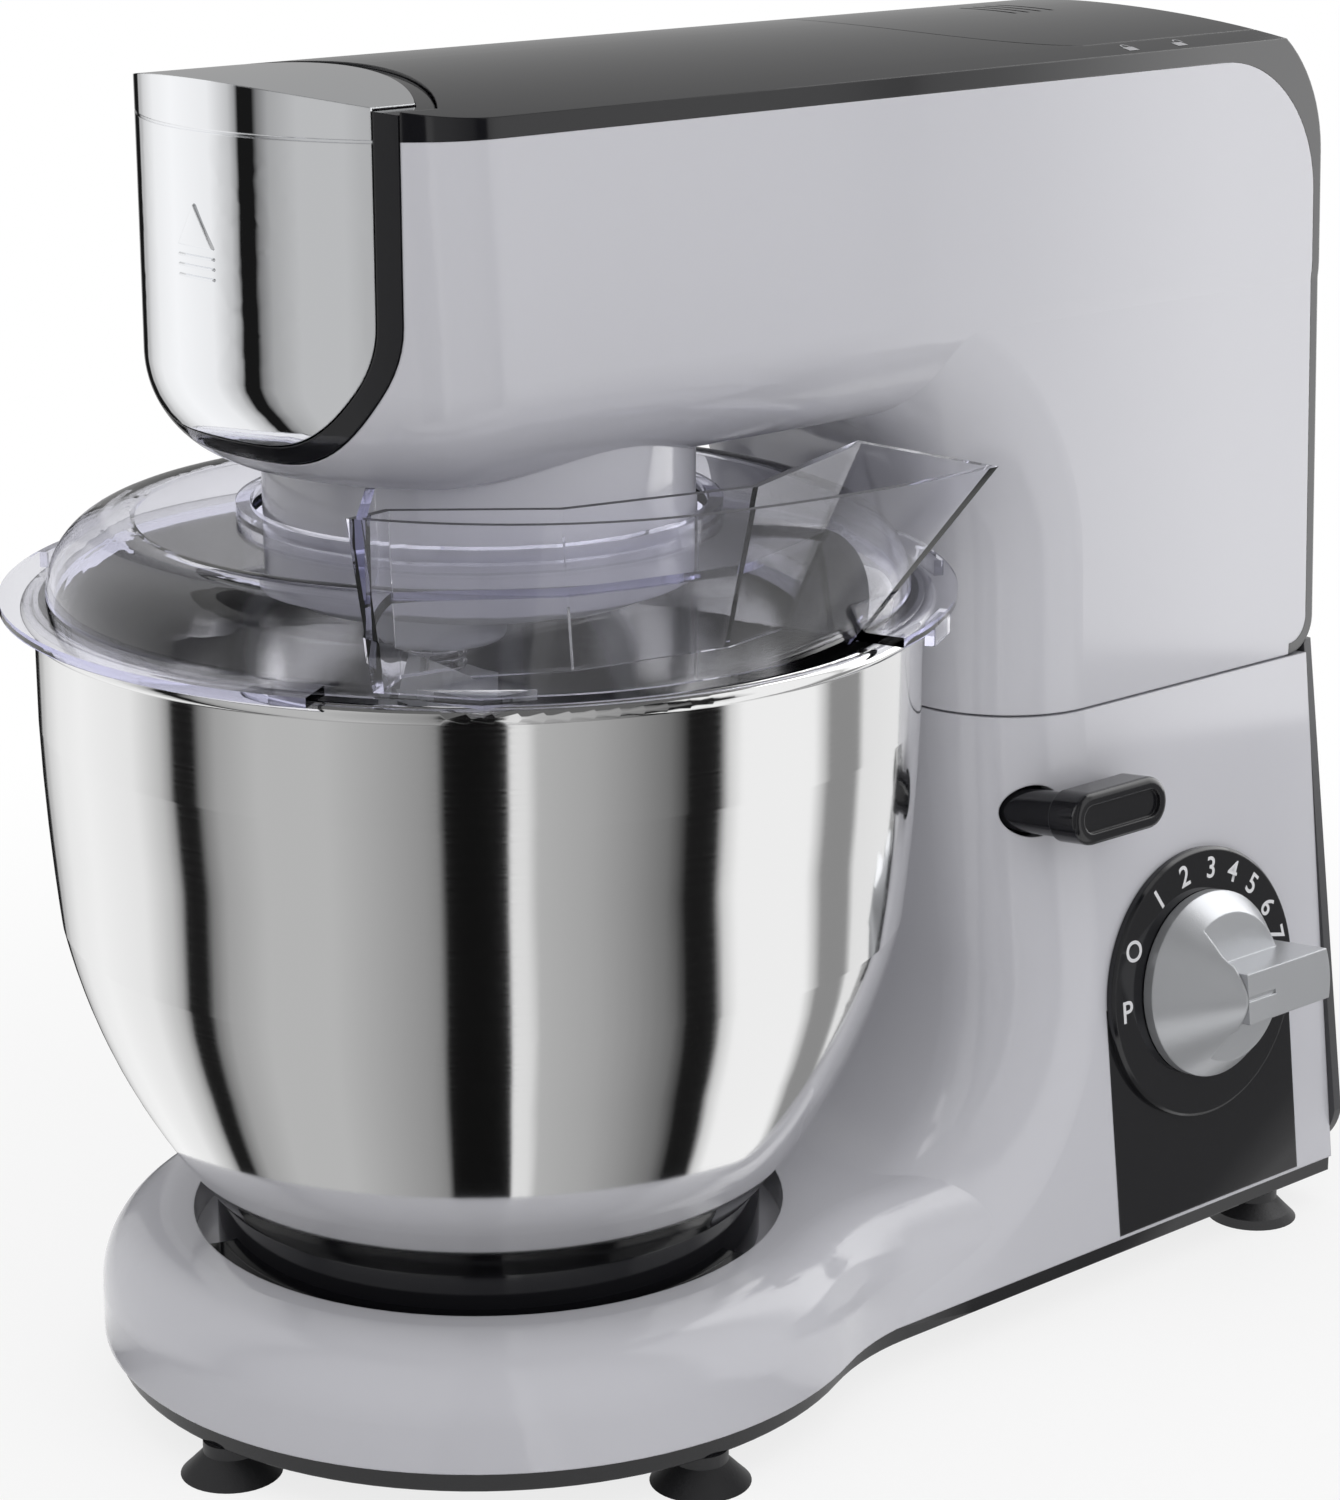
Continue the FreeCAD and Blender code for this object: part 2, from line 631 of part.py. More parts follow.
def head_knuckles():
    """Two hinge knuckles of the head, on arms that reach up to the motor's lower bracket."""
    both = []
    for side in (1, -1):
        x0 = size("knuckle_half") + 0.4
        x1 = PIN_HALF - 2.0
        if side < 0:
            x0, x1 = -x1, -x0
        barrel = pin_along_x(6.6, x0, x1, size("pivot_y"), size("pivot_z"))
        arm = block(x0, x1, size("pivot_y") - 6.6, size("pivot_y") + 2, size("pivot_z"), 190)
        foot = block(x0, x1, size("pivot_y") - 40, size("pivot_y") + 2, 186, 190)
        bore = pin_along_x(size("pin_r") + size("fit"), -60, 60, size("pivot_y"), size("pivot_z"))
        inside = block(-100, 100, 0, WHITE_BACK - size("wall"), 0, 400)
        both.append(barrel.fuse(arm).fuse(foot).cut(bore).common(inside).removeSplitter())
    return Part.makeCompound(both)


keep("head_knuckles", head_knuckles())

# Outer form of the head: arm with a round nose, upper column and neck


def arm_section(half, inset, back, z):
    """Plan of the arm: round nose, rounded corners into straight sides, square back."""
    nose = size("nose_r") - inset
    corner = size("nose_corner") - inset
    x = half - inset - corner
    y = size("nose_y") - math.sqrt((nose - corner) ** 2 - x ** 2)
    way = math.degrees(math.atan2(y - size("nose_y"), x))
    centre = (0.0, size("nose_y"))
    return outline([
        V(half - inset, back, z), V(inset - half, back, z), V(inset - half, y, z),
        (on_circle((-x, y), corner, 180 - way / 2, z), on_circle(centre, nose, 180 - way, z)),
        (V(0, size("nose_y") - nose, z), on_circle(centre, nose, way, z)),
        (on_circle((x, y), corner, way / 2, z), V(half - inset, y, z)),
    ])


def arm_form(inset, low, high, back, rounding):
    """The arm between two heights, drawn in by inset, its lower edges rounded."""
    sections = [arm_section(head_half(z), inset, back, z) for z in (low, high)]
    arm = Part.makeLoft(sections, True, True)
    edges = [e for e in arm.Edges if all(abs(v.Z - low) < 0.01 for v in e.Vertexes)
             and not all(abs(v.Y - back) < 0.01 for v in e.Vertexes)]
    return arm.makeFillet(rounding, edges)


def head_column(inset, low, high):
    """The upper column between two heights, a little inside the arm's sides, swept forward under the arm."""
    sweep = size("arch")
    form = swept_column(lambda z: head_half(z) - 0.4 - inset, size("column_front") + inset,
                        size("back_y") - inset, sweep + inset, size("arm_z") + 1.5 - sweep, 1,
                        size("column_corner") - inset, low, high)
    return form.common(block(-200, 200, 30, 400, 0, 500))


def side_form(top, back, corner, low):
    """Side view of the head: flat top, rounded top rear corner, and a rear corner round the hinge."""
    reach = back - size("pivot_y")
    bend = math.sqrt(0.5)
    x = -120.0
    return prism(outline([
        V(x, -150, low), V(x, -150, top), V(x, back - corner, top),
        (V(x, back - corner + corner * bend, top - corner + corner * bend), V(x, back, top - corner)),
        V(x, back, size("pivot_z")),
        (V(x, size("pivot_y") + reach * bend, size("pivot_z") - reach * bend),
         V(x, size("pivot_y"), size("pivot_z") - reach)),
        V(x, size("pivot_y") - 1, low),
    ]), V(240, 0, 0))


def crown_form(sunk):
    """The round of the head's top, along the head."""
    return Part.makeCylinder(size("crown_r") - sunk, 500, V(0, -200, size("head_top") - size("crown_r")),
                             V(0, 1, 0))


def head_outer():
    """The whole outer form of the head with its covers on."""
    over = size("head_top") + 4
    form = arm_form(0.0, size("arm_z"), over, size("back_y"), size("arm_round"))
    form = form.fuse(head_column(0.0, size("parting_z"), size("arm_z") + 60))
    form = form.fuse(tube(size("neck_r"), size("neck_z"), size("arm_z") + 20))
    side = side_form(size("head_top") + 2, size("back_y"), size("rear_round"), size("neck_z") - 60)
    return form.common(side).common(crown_form(0.0))


HEAD = head_outer()
WHITE_SIDE = side_form(size("white_top"), WHITE_BACK, size("rear_round") - size("rear_sheet"),
                       size("neck_z") - 60)


def u_form(half, bottom, corner, y0, y1):
    """A U seen from the front, open upwards, pushed along Y."""
    top = size("head_top") + 20
    bend = corner * math.sqrt(0.5)
    return prism(outline([
        V(half, y0, top), V(-half, y0, top), V(-half, y0, bottom + corner),
        (V(corner - half - bend, y0, bottom + corner - bend), V(corner - half, y0, bottom)),
        V(half - corner, y0, bottom),
        (V(half - corner + bend, y0, bottom + corner - bend), V(half, y0, bottom + corner)),
    ]), V(0, y1 - y0, 0))


BAND_X = size("cap_x") + size("band_w")
BAND_Z = size("cap_z") - size("band_w")
BAND_ROUND = size("cap_round") + size("band_w")
FRONT = -120.0


def cap_zone(grow):
    """Space of the chrome cap: inside the U and in front of its curved rear edge."""
    u = u_form(size("cap_x") + grow, size("cap_z") - grow, size("cap_round") + grow, FRONT,
               size("bulkhead_y") + 30)
    back = tube(size("cap_back_r") + grow, 200, 400, 0, size("cap_back") - size("cap_back_r"))
    low = block(-100, 100, FRONT, size("bulkhead_y"), 200, size("white_top") - 3)
    high = block(-100, 100, FRONT, 0, size("white_top") - 3, 400)
    return u.common(back).common(low.fuse(high))


def arm_inside(inset, top):
    """Space inside the arm's skin, used to thin the cap and the shell."""
    return arm_form(inset, size("arm_z") + inset, top, WHITE_BACK - inset,
                    size("arm_round") - inset)


def front_cap():
    """Chrome cap that slides up off the nose: a thin curved front with a closed top and a fine groove."""
    cap = HEAD.common(cap_zone(0.0)).cut(arm_inside(size("cap_skin"), size("head_top") - size("cap_crown")))
    deep = 0.4
    line = block(-100, 100, FRONT, 0, size("white_top") - 0.3, size("white_top") + 0.3)
    skin = arm_form(deep, size("arm_z") + deep, size("head_top"), WHITE_BACK, size("arm_round") - deep)
    return cap.cut(line.cut(skin))


keep("front_cap", front_cap())


def front_band():
    """Black band that frames the cap: a U on the nose, closed and a little sunk over the top behind it."""
    sunk = 0.8
    frame = HEAD.common(crown_form(sunk)).common(cap_zone(size("band_w"))).cut(cap_zone(size("seam")))
    behind = block(-100, 100, size("bulkhead_y"), 50, 200, size("white_top"))
    return frame.cut(behind)


keep("front_band", front_band())


def hatch_zone(grow):
    """Plan of the rear outlet cover: a bowed front edge, straight sides and a lower edge at the back."""
    bow = size("hatch_bow") + grow
    half = size("hatch_x") + grow
    plan = tube(bow, 200, 400, 0, size("hatch_front") + size("hatch_bow"))
    plan = plan.fuse(block(-bow, bow, size("hatch_front") + size("hatch_bow"), 400, 200, 400))
    return plan.common(block(-half, half, 0, 400, size("hatch_z") - grow, 400))


def cover_form():
    """Everything black above and behind the white shell, hollowed from inside."""
    cover = HEAD.cut(WHITE_SIDE)
    rise = size("head_top") - size("cover_skin")
    low = min(size("white_top"), rise) - 20
    pocket = block(-size("top_x") + 6, size("top_x") - 6, -20, WHITE_BACK - 30, low, rise)
    return cover.cut(pocket)


COVER = cover_form()


def top_cover():
    """Black top cover that runs on down the back of the head."""
    cover = COVER.cut(cap_zone(size("band_w") + size("seam"))).cut(hatch_zone(size("seam")))
    half = size("knuckle_half") + 0.6
    return cover.cut(block(-half, half, WHITE_BACK - 14, size("back_y") + 1, 150, size("pivot_z") + 13))


keep("top_cover", top_cover())


def outlet_cover():
    """Rear outlet cover that slides back: part of the black top, with grip ribs."""
    hatch = COVER.common(hatch_zone(0.0))
    top = size("head_top")
    for k in range(4):
        y = 177.0 + 4.8 * k
        hatch = hatch.cut(block(-10.5, 10.5, y, y + 1.3, top - 1.0, top + 5))
    return hatch


keep("outlet_cover", outlet_cover())


def head_shell():
    """White head moulding: hollow arm and column, open below the column, with a wall behind the nose."""
    wall = size("wall")
    shell = HEAD.common(WHITE_SIDE)
    mouth = u_form(BAND_X + size("seam"), BAND_Z - size("seam"), BAND_ROUND + size("seam"), FRONT,
                   size("bulkhead_y"))
    shell = shell.cut(mouth)
    inside = arm_inside(wall, size("white_top") + 20)
    inside = inside.common(block(-100, 100, size("bulkhead_y") + wall, 400, 0, 500))
    shell = shell.cut(inside)
    shell = shell.cut(head_column(wall + 0.6, size("parting_z") - 1, size("white_top") - 40)
                      .common(block(-100, 100, 0, WHITE_BACK - wall, 0, 500)))
    shell = shell.cut(tube(size("neck_r") - wall, size("neck_z") - 1, size("arm_z") + 21))
    half = size("knuckle_half") + 0.6
    shell = shell.cut(block(-half, half, WHITE_BACK - 10, size("back_y"), 150, size("pivot_z") + 13))
    collar = Part.makeCylinder(14.0, 20, V(0, size("bulkhead_y") - 5, OUTLET_Z), V(0, 1, 0))
    return shell.cut(collar)


BEVEL_PITCH = size("bevel_m") * BEVEL_TEETH / 2
OUTLET_Z = 289.0
keep("head_shell", head_shell())


def outlet_collar():
    """Front accessory socket, a ring with bayonet notches on the wall behind the cap."""
    y0 = size("bulkhead_y") - 12.0
    ring = Part.makeCylinder(24, 12.0, V(0, y0, OUTLET_Z), V(0, 1, 0))
    ring = ring.fuse(Part.makeCylinder(13.8, 15.0, V(0, y0, OUTLET_Z), V(0, 1, 0)))
    ring = ring.cut(Part.makeCylinder(18, 9.0, V(0, y0 - 1, OUTLET_Z), V(0, 1, 0)))
    for a in (0, 120, 240):
        notch = block(-4, 4, y0 - 1, y0 + 6, 14, 30)
        notch.rotate(V(0, 0, 0), V(0, 1, 0), a)
        notch.translate(V(0, 0, OUTLET_Z))
        ring = ring.cut(notch)
    return ring.cut(Part.makeCylinder(7.0 + size("fit"), 40, V(0, y0 - 1, OUTLET_Z), V(0, 1, 0)))


keep("outlet_collar", outlet_collar())

# Gears, drawn by one rule for straight teeth


def tooth_wire(teeth, module, tip, root, start, z, scale=1.0, spread=0.0):
    """Outline of a toothed wheel: root and tip lands joined by straight flanks; spread widens the teeth."""
    pitch = module * teeth / 2
    step = 360.0 / teeth
    points = []
    for k in range(teeth):
        mid = start + k * step
        for share, reach in ((-0.37 - spread, root), (-0.12 - spread, tip), (0.12 + spread, tip),
                             (0.37 + spread, root)):
            points.append(on_circle((0, 0), (pitch + reach) * scale, mid + share * step, z))
    return Part.makePolygon(points + [points[0]])


def spur(teeth, module, z0, z1, bore, start=0.0):
    """A spur wheel with an upright axis."""
    wire = tooth_wire(teeth, module, 0.9 * module, -1.25 * module, start, z0)
    wheel = prism(wire, V(0, 0, z1 - z0))
    return wheel.cut(tube(bore, z0 - 1, z1 + 1))


def spindle_place():
    """The tool spindle at rest: in front and a little to the right of the bowl's axis."""
    throw = size("gear_m") * (RING_TEETH - PLANET_TEETH) / 2
    return on_circle((0, 0), throw, SPINDLE_ANGLE, 0)


SPINDLE_ANGLE = -63.5
SPINDLE = spindle_place()
RING_Z = size("neck_z") + 4.0
RING_H = 10.0


def ring_gear():
    """Fixed internal ring gear in the neck."""
    outer = size("neck_r") - size("wall") - 0.2
    m = size("gear_m")
    gap = tooth_wire(RING_TEETH, m, 1.25 * m, -0.9 * m, SPINDLE_ANGLE, RING_Z - 1, 1.0, 0.04)
    hollow = prism(gap, V(0, 0, RING_H + 2))
    return tube(outer, RING_Z, RING_Z + RING_H).cut(hollow)


keep("ring_gear", ring_gear())


def moved_to(shape, place):
    """A copy of a shape at another place."""
    copy = shape.copy()
    copy.translate(place)
    return copy


keep("planet_pinion", moved_to(spur(PLANET_TEETH, size("gear_m"), RING_Z + 1, RING_Z + RING_H - 1,
                                    size("spindle_r") + size("fit"), SPINDLE_ANGLE), SPINDLE))


def planet_hub():
    """Light grey hub that carries the spindle round the bowl, with a stepped boss."""
    hub = tube(size("hub_r"), size("hub_z"), RING_Z - 1.0)
    rims = [e for e in hub.Edges if len(e.Vertexes) == 1 and e.Vertexes[0].Z < size("hub_z") + 0.1]
    hub = hub.makeFillet(3.0, rims)
    boss = tube(size("boss_r"), size("boss_z"), size("hub_z") + 4, SPINDLE.x, SPINDLE.y)
    rims = [e for e in boss.Edges if len(e.Vertexes) == 1 and e.Vertexes[0].Z < size("boss_z") + 0.1]
    boss = boss.makeFillet(2.0, rims)
    hub = hub.fuse(boss)
    hub = hub.cut(tube(size("spindle_r") + size("fit"), 100, 300, SPINDLE.x, SPINDLE.y))
    return hub.cut(tube(size("shaft_r") + size("fit"), size("hub_z") + 3, 300)).removeSplitter()


keep("planet_hub", planet_hub())

GEARBOX_Z = size("arm_z") + 7.0
GEARBOX_H = 4.0
MAIN_GEAR_Z = GEARBOX_Z + GEARBOX_H + 0.6
MAIN_GEAR_H = 6.0
LAY_Y = size("train_m") * (MAIN_TEETH + LAY_TEETH) / 2
BEVEL_LOW = OUTLET_Z - BEVEL_PITCH
BEVEL_SMALL = 0.62

lathe("main_shaft", [("0", "hub_z + 3.2"), ("shaft_r", "hub_z + 3.2"),
                     ("shaft_r", "head_top - 47"), ("0", "head_top - 47")])
keep("main_gear", spur(MAIN_TEETH, size("train_m"), MAIN_GEAR_Z, MAIN_GEAR_Z + MAIN_GEAR_H,
                       size("shaft_r") + size("fit"), 90.0))
lay = spur(LAY_TEETH, size("train_m"), MAIN_GEAR_Z + 0.2, MAIN_GEAR_Z + MAIN_GEAR_H - 0.1,
           4.0 + size("fit"), 90.0)
keep("lay_pinion", moved_to(lay, V(0, LAY_Y, 0)))


def gearbox_plate():
    """Plate across the arm that carries the main shaft and the lay shaft in bushes."""
    low = GEARBOX_Z
    high = low + GEARBOX_H
    inside = arm_inside(size("wall") + 0.25, size("white_top") + 20)
    plate = inside.common(block(-100, 100, size("bulkhead_y") + size("wall") + 0.3, 100, low, high))
    plate = plate.fuse(tube(11, RING_Z + RING_H + 1, low + 1)).fuse(tube(8, low - 3.4, low + 1, 0, LAY_Y))
    plate = plate.cut(tube(size("shaft_r") + size("fit"), 100, 300))
    return plate.cut(tube(4.0 + size("fit"), 100, 300, 0, LAY_Y)).removeSplitter()


keep("gearbox_plate", gearbox_plate())
keep("lay_shaft", tube(4.0, GEARBOX_Z - 7, size("belt_z") + size("belt_w") + 3, 0, LAY_Y))


def pulley(radius, bore, y):
    """A flanged belt pulley."""
    z0 = size("belt_z") - 0.3
    z1 = size("belt_z") + size("belt_w") + 0.3
    wheel = tube(radius, z0, z1, 0, y).fuse(tube(radius + 2.6, z0 - 1.0, z0, 0, y))
    wheel = wheel.fuse(tube(radius + 2.6, z1, z1 + 1.0, 0, y))
    return wheel.cut(tube(bore, z0 - 5, z1 + 5, 0, y)).removeSplitter()


keep("large_pulley", pulley(size("large_pulley_r"), 4.0 + size("fit"), LAY_Y))
keep("motor_pulley", pulley(size("small_pulley_r"), size("motor_shaft_r") + size("fit"), size("motor_y")))


def belt_loop(grow, z0, z1):
    """Solid inside the belt's path, grown by some thickness."""
    a = size("large_pulley_r") + 0.15 + grow
    b = size("small_pulley_r") + 0.15 + grow
    span = size("motor_y") - LAY_Y
    lean = math.degrees(math.asin((a - b) / span))
    near = (0.0, LAY_Y)
    far = (0.0, size("motor_y"))
    return prism(outline([
        on_circle(near, a, lean, z0), on_circle(far, b, lean, z0),
        (V(0, size("motor_y") + b, z0), on_circle(far, b, 180 - lean, z0)),
        on_circle(near, a, 180 - lean, z0),
        (V(0, LAY_Y - a, z0), on_circle(near, a, lean, z0)),
    ]), V(0, 0, z1 - z0))


BELT_HIGH = size("belt_z") + size("belt_w")
keep("drive_belt", belt_loop(size("belt_h"), size("belt_z"), BELT_HIGH)
     .cut(belt_loop(0.0, size("belt_z") - 1, BELT_HIGH + 1)))


def bevel(start):
    """A bevel wheel of one to one, its cone's point at the origin above it."""
    m = size("bevel_m")
    big = tooth_wire(BEVEL_TEETH, m, 0.62 * m, -1.1 * m, start, -BEVEL_PITCH)
    small = tooth_wire(BEVEL_TEETH, m, 0.62 * m, -1.1 * m, start, -BEVEL_PITCH * BEVEL_SMALL, BEVEL_SMALL)
    wheel = Part.makeLoft([big, small], True, True)
    back = tube(BEVEL_PITCH - 1.3 * m, -BEVEL_PITCH - 3.0, -BEVEL_PITCH + 0.5)
    return wheel.fuse(back)


def bevel_drive():
    """Bevel wheel on the main shaft."""
    wheel = bevel(90.0).cut(tube(size("shaft_r") + size("fit"), -50, 50))
    return moved_to(wheel, V(0, 0, OUTLET_Z))


keep("bevel_drive", bevel_drive())


def facing_front(shape):
    """Turn an upright wheel so that its axis runs along Y with the wheel in front of the origin."""
    turned = shape.copy()
    turned.rotate(V(0, 0, 0), V(1, 0, 0), -90)
    turned.translate(V(0, 0, OUTLET_Z))
    return turned


def bevel_driven():
    """Bevel wheel that turns the front outlet."""
    wheel = bevel(90.0 + 180.0 / BEVEL_TEETH).cut(tube(5.0 + size("fit"), -50, 50))
    return facing_front(wheel)


keep("bevel_driven", bevel_driven())


def outlet_shaft():
    """Front outlet shaft with a hexagonal socket for accessories."""
    y0 = size("bulkhead_y") - 11.0
    shaft = Part.makeCylinder(7.0, 14.0, V(0, y0, OUTLET_Z), V(0, 1, 0))
    shaft = shaft.fuse(Part.makeCylinder(5.0, -BEVEL_PITCH - y0 + 2.0, V(0, y0, OUTLET_Z), V(0, 1, 0)))
    corner = [V(5.0 * math.cos(math.radians(60 * k)), y0 - 1, OUTLET_Z + 5.0 * math.sin(math.radians(60 * k)))
              for k in range(6)]
    socket = prism(Part.makePolygon(corner + [corner[0]]), V(0, 9, 0))
    return shaft.cut(socket).removeSplitter()


keep("outlet_shaft", outlet_shaft())

# Motor, upright in the head's column

MOTOR_LOW = 205.0
MOTOR_HIGH = 243.0
MOTOR = V(0, size("motor_y"), 0)


def motor_shaft():
    """Motor shaft from the lower bearing to the rear outlet."""
    return moved_to(tube(size("motor_shaft_r"), 184.5, size("white_top") - 8), MOTOR)


keep("motor_shaft", motor_shaft())


def armature():
    """Laminated armature with winding slots, and its winding heads."""
    radius = size("rotor_r")
    stack = tube(radius, MOTOR_LOW, MOTOR_HIGH)
    for k in range(ROTOR_SLOTS):
        slot = block(radius - 6, radius + 1, -1.5, 1.5, MOTOR_LOW - 1, MOTOR_HIGH + 1)
        slot.rotate(V(0, 0, 0), V(0, 0, 1), 360.0 * k / ROTOR_SLOTS)
        stack = stack.cut(slot)
    stack = stack.fuse(tube(radius - 5, MOTOR_LOW - 5, MOTOR_HIGH + 4))
    stack = stack.cut(tube(size("motor_shaft_r") + size("fit"), 100, 400))
    return moved_to(stack, MOTOR)


keep("armature", armature())
COMM_Z = MOTOR_HIGH + 4.2
keep("commutator", moved_to(tube(10, COMM_Z, COMM_Z + 5)
                            .cut(tube(size("motor_shaft_r") + size("fit"), 100, 400)), MOTOR))


def stator():
    """Field laminations: a round yoke with two flats and two pole horns round the armature."""
    bore = size("rotor_r") + 0.6
    yoke = tube(41, MOTOR_LOW + 2, MOTOR_HIGH - 2).common(block(-34, 34, -60, 60, 0, 400))
    hole = tube(bore, 100, 400)
    coil = block(-40, 40, -12, 12, 100, 400).common(tube(bore + 9, 100, 400))
    return moved_to(yoke.cut(hole).cut(coil), MOTOR)


keep("stator", stator())


def field_coils():
    """Two copper field coils in the stator's side windows."""
    bore = size("rotor_r") + 0.9
    coil = block(-40, 40, -11.7, 11.7, MOTOR_LOW - 4, MOTOR_HIGH + 3)
    coil = coil.common(tube(bore + 8.4, 100, 400)).cut(tube(bore, 100, 400))
    return moved_to(coil, MOTOR)


keep("field_coils", field_coils())


def bracket(z, ends):
    """A motor bracket across the column, with a bearing boss and four legs that meet the stator."""
    inside = head_column(size("wall") + 0.9, size("parting_z"), size("white_top") - 40)
    plate = inside.common(block(-100, 100, size("motor_y") - 50, size("pivot_y") - 4, z, z + 4))
    for x in (-26, 26):
        for y in (-26, 26):
            low, high = ends
            plate = plate.fuse(tube(5, low, high, x, size("motor_y") + y))
    plate = plate.cut(tube(16, z - 30, z + 40, 0, size("motor_y")))
    bore = tube(size("motor_shaft_r") + size("fit"), 0, 400, 0, size("motor_y"))
    web = tube(17, z, z + 4, 0, size("motor_y")).cut(bore)
    return plate.fuse(web).removeSplitter()


LOWER_Z = 190.0
UPPER_Z = MOTOR_HIGH + 11.0
keep("lower_bracket", bracket(LOWER_Z, (LOWER_Z + 1, MOTOR_LOW + 2)))
keep("upper_bracket", bracket(UPPER_Z, (MOTOR_HIGH - 2, UPPER_Z + 1)))


def brushes():
    """Two brush boxes on the upper bracket, either side of the commutator."""
    low = COMM_Z + 0.2
    high = UPPER_Z
    pair = [block(10.3, 24, -4, 4, low, high), block(-24, -10.3, -4, 4, low, high)]
    return Part.makeCompound([moved_to(b, MOTOR) for b in pair])


keep("brush_boxes", brushes())


def motor_fan():
    """Cooling fan below the armature: a disc with straight blades."""
    z0 = LOWER_Z + 4.6
    fan = tube(24, z0, z0 + 1.4).fuse(tube(8, z0, z0 + 4.6))
    for k in range(FAN_BLADES):
        blade = block(9, 24, -0.7, 0.7, z0 + 1, z0 + 4.6)
        blade.rotate(V(0, 0, 0), V(0, 0, 1), 360.0 * k / FAN_BLADES)
        fan = fan.fuse(blade)
    return moved_to(fan.cut(tube(size("motor_shaft_r") + size("fit"), 100, 400)), MOTOR)


keep("motor_fan", motor_fan())


def outlet_coupling():
    """Rear fast outlet: a cup with drive dogs on the motor shaft's top, under the sliding cover."""
    high = size("white_top") - 1.0
    cup = tube(15, high - 14, high).cut(tube(12, high - 8, high + 1))
    for k in range(4):
        dog = block(6.5, 13, -1.6, 1.6, high - 9, high - 1)
        dog.rotate(V(0, 0, 0), V(0, 0, 1), 90.0 * k)
        cup = cup.fuse(dog)
    return moved_to(cup.cut(tube(size("motor_shaft_r") + size("fit"), 100, high - 7)), MOTOR).removeSplitter()


keep("outlet_coupling", outlet_coupling())


def latch_striker():
    """Striker of the head's catch, hung from the lower bracket into the base."""
    y0 = size("lever_y") - 4.0
    leg = block(30, 40, y0, y0 + 12, 150, LOWER_Z)
    return leg.cut(block(29, 41, y0 - 1, y0 + 5, 155, 158))


keep("latch_striker", latch_striker())

# Tool: spindle, drive pin, spring and flat beater

SPINDLE_LOW = size("tool_z") - 16.0
PIN_Z = size("tool_z") - 8.0
DRIVE_PIN_R = 1.8
spindle_bar = doc.addObject("Part::Cylinder", "spindle_bar")
spindle_bar.setExpression("Radius", bind("spindle_r"))
spindle_bar.setExpression("Height", bind("neck_z - tool_z + 29.5"))
spindle_bar.Placement = FreeCAD.Placement(HOME + SPINDLE + V(0, 0, SPINDLE_LOW), FreeCAD.Rotation())
spindle_hole = doc.addObject("Part::Cylinder", "spindle_hole")
spindle_hole.setExpression("Radius", bind("%s + fit" % DRIVE_PIN_R))
spindle_hole.setExpression("Height", bind("4 * spindle_r"))
spindle_hole.Placement = FreeCAD.Placement(HOME + SPINDLE + V(0, -2 * size("spindle_r"), PIN_Z),
                                           FreeCAD.Rotation(V(1, 0, 0), -90))
spindle = doc.addObject("Part::Cut", "spindle")
spindle.Base = spindle_bar
spindle.Tool = spindle_hole
spindle.Label = "spindle"
PARTS.append(spindle)
keep("drive_pin", moved_to(Part.makeCylinder(DRIVE_PIN_R, 20, V(0, -10, PIN_Z), V(0, 1, 0)), SPINDLE))


def biarc(p0, t0, p1, t1):
    """Two arcs from one point and heading to another, tangent throughout."""
    v = p1 - p0
    both = t0 + t1
    turn = 2 * (1 - t0.dot(t1))
    along = v.dot(both)
    if abs(turn) < 1e-9:
        reach = v.dot(v) / (2 * along)
    else:
        reach = (math.sqrt(along * along + turn * v.dot(v)) - along) / turn
    joint = (p0 + t0 * reach + p1 - t1 * reach) * 0.5
    return [arc_from(p0, t0, joint), arc_from(p1, t1 * -1, joint, True)]


def arc_from(p, t, q, back=False):
    """The arc from p, setting out along t, to q."""
    chord = q - p
    way = V(chord).normalize()
    side = t - way * t.dot(way)
    bulge = math.tan(math.acos(max(-1.0, min(1.0, t.dot(way)))) / 2) * chord.Length / 2
    mid = (p + q) * 0.5 + side.normalize() * bulge
    return (Part.Arc(q, mid, p) if back else Part.Arc(p, mid, q)).toShape()


def spindle_spring():
    """Spring between the hub's boss and the tool: one wire, wound, its ends turned square to their seats."""
    wire_r = size("spring_wire") / 2
    radius = size("spring_r")
    low = size("tool_z") + 0.3
    high = size("boss_z") - 0.3
    lead = 3.2 * size("spring_wire")
    wound = high - low - 2 * lead * 0.62
    steps = 4 * SPRING_TURNS
    rise = wound / steps
    knots = []
    for k in range(steps + 1):
        a = math.radians(90.0 * k)
        at = V(radius * math.cos(a), radius * math.sin(a), low + lead * 0.62 + rise * k)
        heading = V(-radius * math.sin(a) * math.pi / 2, radius * math.cos(a) * math.pi / 2, rise).normalize()
        knots.append((at, heading))
    first, last = knots[0][0], knots[-1][0]
    up = V(0, 0, 1)
    start = V(first.x, first.y - 1.7 * size("spring_wire"), low + size("spring_wire"))
    finish = V(last.x, last.y + 1.7 * size("spring_wire"), high - size("spring_wire"))
    knots = [(start, up)] + knots + [(finish, up)]
    edges = [Part.LineSegment(start - up * size("spring_wire"), start).toShape()]
    for (p0, t0), (p1, t1) in zip(knots, knots[1:]):
        edges += biarc(p0, t0, p1, t1)
    edges.append(Part.LineSegment(finish, finish + up * size("spring_wire")).toShape())
    path = Part.Wire(edges)
    ring = Part.Wire([Part.Circle(start - up * size("spring_wire"), up, wire_r).toShape()])
    spring = path.makePipeShell([ring], True, False)
    points = path.discretize(Number=40 * SPRING_TURNS)
    near = 3.0 * size("spring_wire")
    step = path.Length / (len(points) - 1)
    apart = min((points[i] - points[j]).Length for i in range(len(points)) for j in range(i)
                if (i - j) * step > near)
    print("spindle spring: gap between turns %.2f mm" % (apart - size("spring_wire")))
    return moved_to(spring, SPINDLE)


keep("spindle_spring", spindle_spring())


